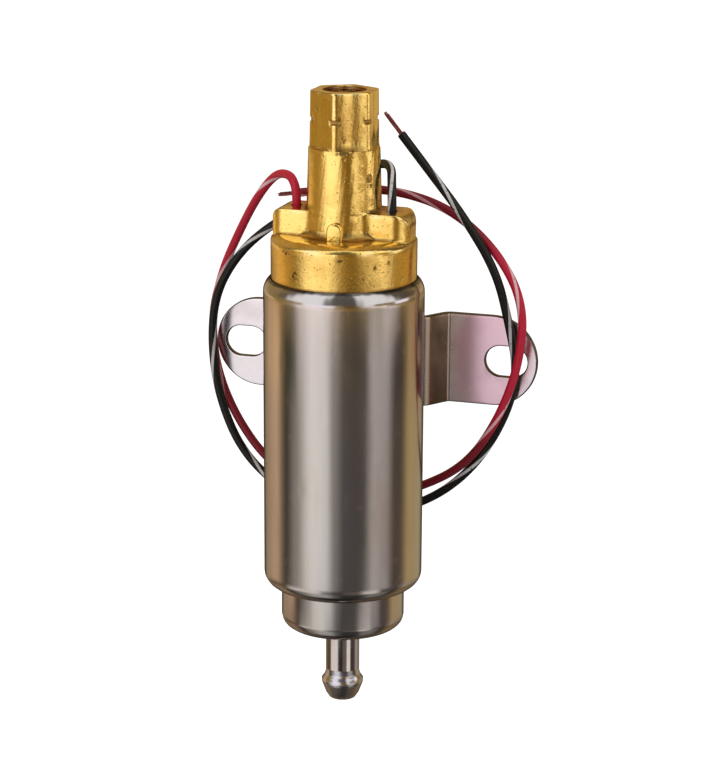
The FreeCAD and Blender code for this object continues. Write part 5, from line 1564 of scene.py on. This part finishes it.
# Panels of the surround, as rows by height: the height where a row starts, and its panels, each as its
# direction from the camera in degrees to the right, and its glow. The panel behind, at -180, closes the
# row at 180 as well. The rows are those that these reflect:
# faces looking down, the nipple, the cup, the can's lower and upper part, the disc, the boss, the hexagon,
# and faces looking up.
PANEL_ROWS = [
    (None, [
        (-180, 0.03, 0.025, 0.02), (-158, 0.05, 0.04, 0.03), (-140, 0.26, 0.19, 0.12),
        (-110, 0.34, 0.24, 0.17), (-88, 0.05, 0.05, 0.04), (-66, 0.24, 0.24, 0.23), (-46, 0.50, 0.50, 0.50),
        (-26, 0.46, 0.46, 0.46), (-12, 0.12, 0.12, 0.12), (2, 0.04, 0.04, 0.04), (28, 0.04, 0.04, 0.04),
        (46, 0.24, 0.24, 0.24), (62, 0.22, 0.21, 0.21), (80, 0.05, 0.04, 0.04), (108, 0.26, 0.19, 0.10),
        (140, 0.22, 0.17, 0.10), (158, 0.05, 0.04, 0.03),
    ]),
    (-0.262, [
        (-180, 0.08, 0.06, 0.05), (-164, 0.30, 0.24, 0.16), (-112, 0.12, 0.08, 0.05),
        (-94, 0.14, 0.10, 0.07), (-80, 0.96, 0.90, 0.86), (-38, 0.92, 0.90, 0.90), (-26, 0.05, 0.04, 0.04),
        (-8, 0.03, 0.02, 0.02), (6, 0.16, 0.14, 0.13), (24, 0.20, 0.18, 0.16), (33, 1.05, 1.0, 0.98),
        (48, 1.0, 0.96, 0.94), (60, 0.05, 0.04, 0.04), (84, 0.08, 0.06, 0.06), (104, 0.42, 0.38, 0.36),
        (130, 0.30, 0.25, 0.20), (166, 0.16, 0.12, 0.09),
    ]),
    (-0.2215, [
        (-180, 0.03, 0.025, 0.02), (-157, 0.05, 0.04, 0.03), (-144, 0.40, 0.30, 0.19),
        (-110, 0.54, 0.38, 0.27), (-90, 0.04, 0.04, 0.03), (-78, 0.08, 0.08, 0.07), (-66, 0.34, 0.34, 0.34),
        (-50, 0.76, 0.79, 0.81), (-23, 0.84, 0.87, 0.89), (-12, 0.20, 0.21, 0.22), (0, 0.05, 0.055, 0.06),
        (20, 0.045, 0.05, 0.055), (34, 0.08, 0.085, 0.09), (46, 0.36, 0.39, 0.41), (64, 0.42, 0.42, 0.43),
        (78, 0.10, 0.08, 0.08), (92, 0.14, 0.10, 0.08), (108, 0.52, 0.36, 0.18), (140, 0.46, 0.38, 0.24),
        (157, 0.06, 0.05, 0.04),
    ]),
    (-0.204, [
        (-180, 0.03, 0.025, 0.02), (-157, 0.05, 0.04, 0.03), (-144, 0.38, 0.28, 0.18),
        (-112, 0.66, 0.46, 0.32), (-88, 0.06, 0.055, 0.04), (-70, 0.32, 0.30, 0.28),
        (-46, 0.98, 0.98, 0.98), (-26, 0.94, 0.94, 0.95), (-12, 0.30, 0.29, 0.29), (2, 0.10, 0.095, 0.10),
        (28, 0.09, 0.08, 0.08), (44, 0.52, 0.49, 0.49), (62, 0.45, 0.41, 0.41), (78, 0.09, 0.075, 0.065),
        (88, 0.10, 0.08, 0.06), (108, 0.52, 0.39, 0.19), (142, 0.46, 0.38, 0.24), (157, 0.08, 0.06, 0.05),
    ]),
    (-0.112, [
        (-180, 0.03, 0.025, 0.02), (-157, 0.05, 0.04, 0.03), (-146, 0.34, 0.24, 0.14),
        (-128, 0.66, 0.46, 0.27), (-106, 0.85, 0.56, 0.32), (-96, 0.24, 0.18, 0.11),
        (-88, 0.02, 0.03, 0.015), (-74, 0.05, 0.06, 0.04), (-61, 0.64, 0.61, 0.61), (-46, 1.0, 0.99, 1.02),
        (-28, 0.97, 0.97, 1.0), (-12, 0.28, 0.275, 0.285), (2, 0.075, 0.075, 0.08), (29, 0.05, 0.05, 0.055),
        (43, 0.54, 0.52, 0.55), (62, 0.45, 0.43, 0.44), (76, 0.03, 0.025, 0.025), (90, 0.04, 0.03, 0.03),
        (108, 0.50, 0.34, 0.19), (128, 0.32, 0.23, 0.14), (146, 0.18, 0.12, 0.07), (157, 0.05, 0.04, 0.03),
    ]),
    (-0.075, [
        (-180, 0.04, 0.03, 0.02), (-162, 0.12, 0.08, 0.04), (-148, 0.34, 0.23, 0.10),
        (-116, 0.64, 0.40, 0.19), (-98, 0.50, 0.31, 0.11), (-76, 0.36, 0.25, 0.10), (-60, 1.30, 1.20, 1.22),
        (-20, 1.35, 1.24, 1.25), (-10, 0.96, 0.80, 0.58), (2, 0.44, 0.29, 0.10), (16, 0.30, 0.19, 0.05),
        (32, 0.62, 0.49, 0.28), (46, 0.36, 0.26, 0.11), (54, 0.44, 0.33, 0.16), (64, 1.45, 1.36, 1.38),
        (74, 1.45, 1.36, 1.38), (86, 0.56, 0.39, 0.15), (112, 0.46, 0.31, 0.11), (148, 0.50, 0.36, 0.17),
        (162, 0.12, 0.08, 0.04),
    ]),
    (-0.052, [
        (-180, 0.04, 0.03, 0.02), (-162, 0.14, 0.10, 0.05), (-148, 0.62, 0.46, 0.24),
        (-124, 0.84, 0.62, 0.34), (-102, 0.36, 0.23, 0.08), (-84, 0.44, 0.32, 0.16),
        (-62, 1.22, 1.14, 1.22), (-34, 1.22, 1.14, 1.22), (-21, 0.84, 0.72, 0.56), (-5, 0.28, 0.18, 0.06),
        (16, 0.22, 0.14, 0.035), (32, 0.42, 0.31, 0.16), (45, 1.42, 1.30, 1.36), (60, 1.42, 1.30, 1.36),
        (69, 0.30, 0.20, 0.06), (84, 0.20, 0.12, 0.03), (112, 0.22, 0.14, 0.04), (130, 0.36, 0.25, 0.11),
        (152, 0.30, 0.20, 0.09), (162, 0.10, 0.07, 0.04),
    ]),
    (-0.016, [
        (-180, 0.06, 0.05, 0.03), (-166, 0.10, 0.07, 0.04), (-150, 0.50, 0.38, 0.20),
        (-108, 0.34, 0.23, 0.08), (-84, 0.34, 0.23, 0.07), (-68, 0.46, 0.33, 0.16), (-52, 1.35, 1.28, 1.35),
        (-18, 1.35, 1.28, 1.35), (-6, 0.34, 0.24, 0.10), (8, 0.16, 0.10, 0.03), (20, 0.20, 0.13, 0.04),
        (28, 1.05, 0.95, 0.95), (36, 1.15, 1.05, 1.05), (46, 0.34, 0.24, 0.09), (72, 0.32, 0.22, 0.08),
        (79, 1.40, 1.30, 1.35), (95, 1.40, 1.30, 1.35), (104, 0.34, 0.24, 0.10), (146, 0.58, 0.44, 0.22),
        (162, 0.14, 0.10, 0.05),
    ]),
    (0.07, [
        (-180, 0.46, 0.31, 0.12), (-120, 0.38, 0.26, 0.11), (-92, 0.16, 0.12, 0.08), (-76, 1.2, 1.2, 1.2),
        (-34, 1.2, 1.2, 1.2), (-20, 0.16, 0.14, 0.12), (16, 0.12, 0.10, 0.08), (30, 1.15, 1.15, 1.12),
        (72, 1.15, 1.15, 1.12), (86, 0.12, 0.10, 0.07), (110, 0.14, 0.10, 0.06), (140, 0.40, 0.28, 0.12),
    ]),
]
UNDER_PANELS = [
    (-180, 0.05, 0.04, 0.03), (-110, 0.12, 0.09, 0.07), (-76, 0.08, 0.065, 0.06), (-50, 0.02, 0.018, 0.018),
    (20, 0.02, 0.018, 0.018), (56, 0.08, 0.065, 0.06), (110, 0.12, 0.09, 0.06),
]


def build_surround():
    """A round tent of glowing panels, seen only in reflections: dark, white and tan glow with soft joins.

    Its points are (R cos a, R sin a, h), with R drawn in at the foot and the roof to close it; each panel's
    glow is held at its direction, and fades into the next.
    """
    columns = 180
    angle = np.linspace(0, TURN, columns, endpoint=False)
    foot = FLOOR_HEIGHT + 0.001
    level = np.array([foot, foot, 0.0, SURROUND_TOP, SURROUND_TOP + 0.12])[:, None]
    reach = np.array([0.01, SURROUND_RADIUS, SURROUND_RADIUS, SURROUND_RADIUS, 0.05])[:, None]
    points = np.stack([reach * np.cos(angle), reach * np.sin(angle) + ORIGIN[1], level + 0 * angle], -1)
    tree, shader, place = new_finish("surround_glow", "ShaderNodeEmission")
    across, back, height = tree.split(place)
    aside = back - ORIGIN[1]
    heading = tree.math("ARCTAN2", across, aside * -1.0)
    share = tree.math("FRACT", (heading - CAMERA_TURN) / TURN + 0.5)
    out = tree.across(across, aside)
    glow = panel_ramp(tree, share, PANEL_ROWS[0][1])
    for step, panels in PANEL_ROWS[1:]:
        above = tree.span(height, step - ROW_BLEND, step + ROW_BLEND)
        glow = tree.blend(above, glow, panel_ramp(tree, share, panels))
    under = tree.span(out, 0.33, 0.16) * tree.span(height, -0.30, -0.33)
    glow = tree.blend(under, glow, panel_ramp(tree, share, UNDER_PANELS))
    tree.feed(glow, shader.inputs["Color"])
    shader.inputs["Strength"].default_value = 1.0
    faces = quads_of(len(level), columns)[0]
    surround = stage_piece("surround", points.reshape(-1, 3).tolist(), faces.tolist(), "surround_glow")
    surround.visible_camera = False
    surround.visible_diffuse = False
    surround.visible_shadow = False


def panel_ramp(tree, share, panels):
    """The glow of a row of panels, as a ramp over the share of the way round from behind."""
    ramp = tree.node("ShaderNodeValToRGB", {0: share})
    ramp.color_ramp.interpolation = "EASE"
    stops = ramp.color_ramp.elements
    for number, (direction, *glow) in enumerate(panels + [(180, *panels[0][1:])]):
        where = (direction + 180) / 360
        stop = stops[number] if number < 2 else stops.new(where)
        stop.position = where
        stop.color = (*glow, 1.0)
    return Wire(tree, ramp.outputs[0])


# Height above the nipple's tip that the lamps aim at
LAMP_AIM = 0.078

# Lamps: name, direction from the camera in degrees to the right, height angle, distance, width, power
LAMPS = [
    ("key", -36.0, 38.0, 0.62, 0.40, 1.35),
    ("fill", 62.0, 30.0, 0.66, 0.36, 0.75),
    ("top", 170.0, 62.0, 0.60, 0.40, 0.85),
]


def build_lamps():
    """Large soft lamps that aim at the pump's middle: (d cos e cos a, d cos e sin a, d sin e) away."""
    aim = Vector(ORIGIN) + Vector((0.0, 0.0, LAMP_AIM))
    for name, turn, rise, distance, width, power in LAMPS:
        heading = math.radians(turn) + CAMERA_TURN - math.pi / 2
        lift = math.radians(rise)
        level = math.cos(lift)
        away = Vector((level * math.cos(heading), level * math.sin(heading), math.sin(lift)))
        data = bpy.data.lights.new(name, "AREA")
        data.size = width
        data.energy = power
        lamp = bpy.data.objects.new(name, data)
        lamp.location = aim + away * distance
        lamp.rotation_euler = (-away).to_track_quat("-Z", "Y").to_euler()
        lamp.visible_glossy = False
        bpy.context.scene.collection.objects.link(lamp)


def build_camera(scene):
    """The photograph's view: from the right of straight ahead, looking down on the pump."""
    right = Vector((math.cos(CAMERA_TURN), math.sin(CAMERA_TURN), 0.0))
    level = Vector((-math.sin(CAMERA_TURN), math.cos(CAMERA_TURN), 0.0))
    ahead = level * math.cos(CAMERA_PITCH) + Vector((0, 0, -math.sin(CAMERA_PITCH)))
    down = ahead.cross(right)
    rolled_right = right * math.cos(CAMERA_ROLL) - down * math.sin(CAMERA_ROLL)
    rolled_down = right * math.sin(CAMERA_ROLL) + down * math.cos(CAMERA_ROLL)
    place = (-level * CAMERA_DISTANCE + right * CAMERA_SIDESTEP + Vector((0, 0, CAMERA_HEIGHT))) * MM
    matrix = Matrix((rolled_right, -rolled_down, -ahead)).transposed().to_4x4()
    matrix.translation = place + Vector(ORIGIN)
    data = bpy.data.cameras.new("photo_view")
    data.lens = CAMERA_LENS
    data.sensor_width = 36.0
    data.sensor_fit = "AUTO"
    data.clip_start = 0.01
    data.clip_end = 50.0
    camera = bpy.data.objects.new("photo_view", data)
    camera.matrix_world = matrix
    scene.collection.objects.link(camera)
    scene.camera = camera


class PUMP_PT_panel(bpy.types.Panel):
    """Lists the pump's sizes, colours and pieces"""

    bl_idname = "PUMP_PT_panel"
    bl_label = "Fuel Pump"
    bl_space_type = "VIEW_3D"
    bl_region_type = "UI"
    bl_category = "Fuel Pump"

    def draw(self, context):
        for group in (context.scene.pump_sizes, context.scene.pump_colours):
            box = self.layout.box()
            for name in group.__annotations__:
                box.prop(group, name)
        for operator in OPERATORS:
            self.layout.operator(operator.bl_idname)


OPERATORS = (
    PUMP_OT_stage,
    PUMP_OT_finishes,
    PUMP_OT_leads,
    PUMP_OT_shell,
    PUMP_OT_nipple,
    PUMP_OT_head,
    PUMP_OT_grommets,
    PUMP_OT_bracket,
    PUMP_OT_springs,
)
CLASSES = (PumpSizes, PumpColours) + OPERATORS + (PUMP_PT_panel,)


def register():
    for each in CLASSES:
        bpy.utils.register_class(each)
    bpy.types.Scene.pump_sizes = bpy.props.PointerProperty(type=PumpSizes)
    bpy.types.Scene.pump_colours = bpy.props.PointerProperty(type=PumpColours)


def unregister():
    del bpy.types.Scene.pump_colours
    del bpy.types.Scene.pump_sizes
    for each in reversed(CLASSES):
        bpy.utils.unregister_class(each)


def main():
    register()
    bpy.ops.pump.stage()
    bpy.ops.pump.finishes()
    bpy.ops.pump.leads()
    bpy.ops.pump.shell()
    bpy.ops.pump.nipple()
    bpy.ops.pump.head()
    bpy.ops.pump.grommets()
    bpy.ops.pump.bracket()
    bpy.ops.pump.springs()


if __name__ == "__main__":
    main()
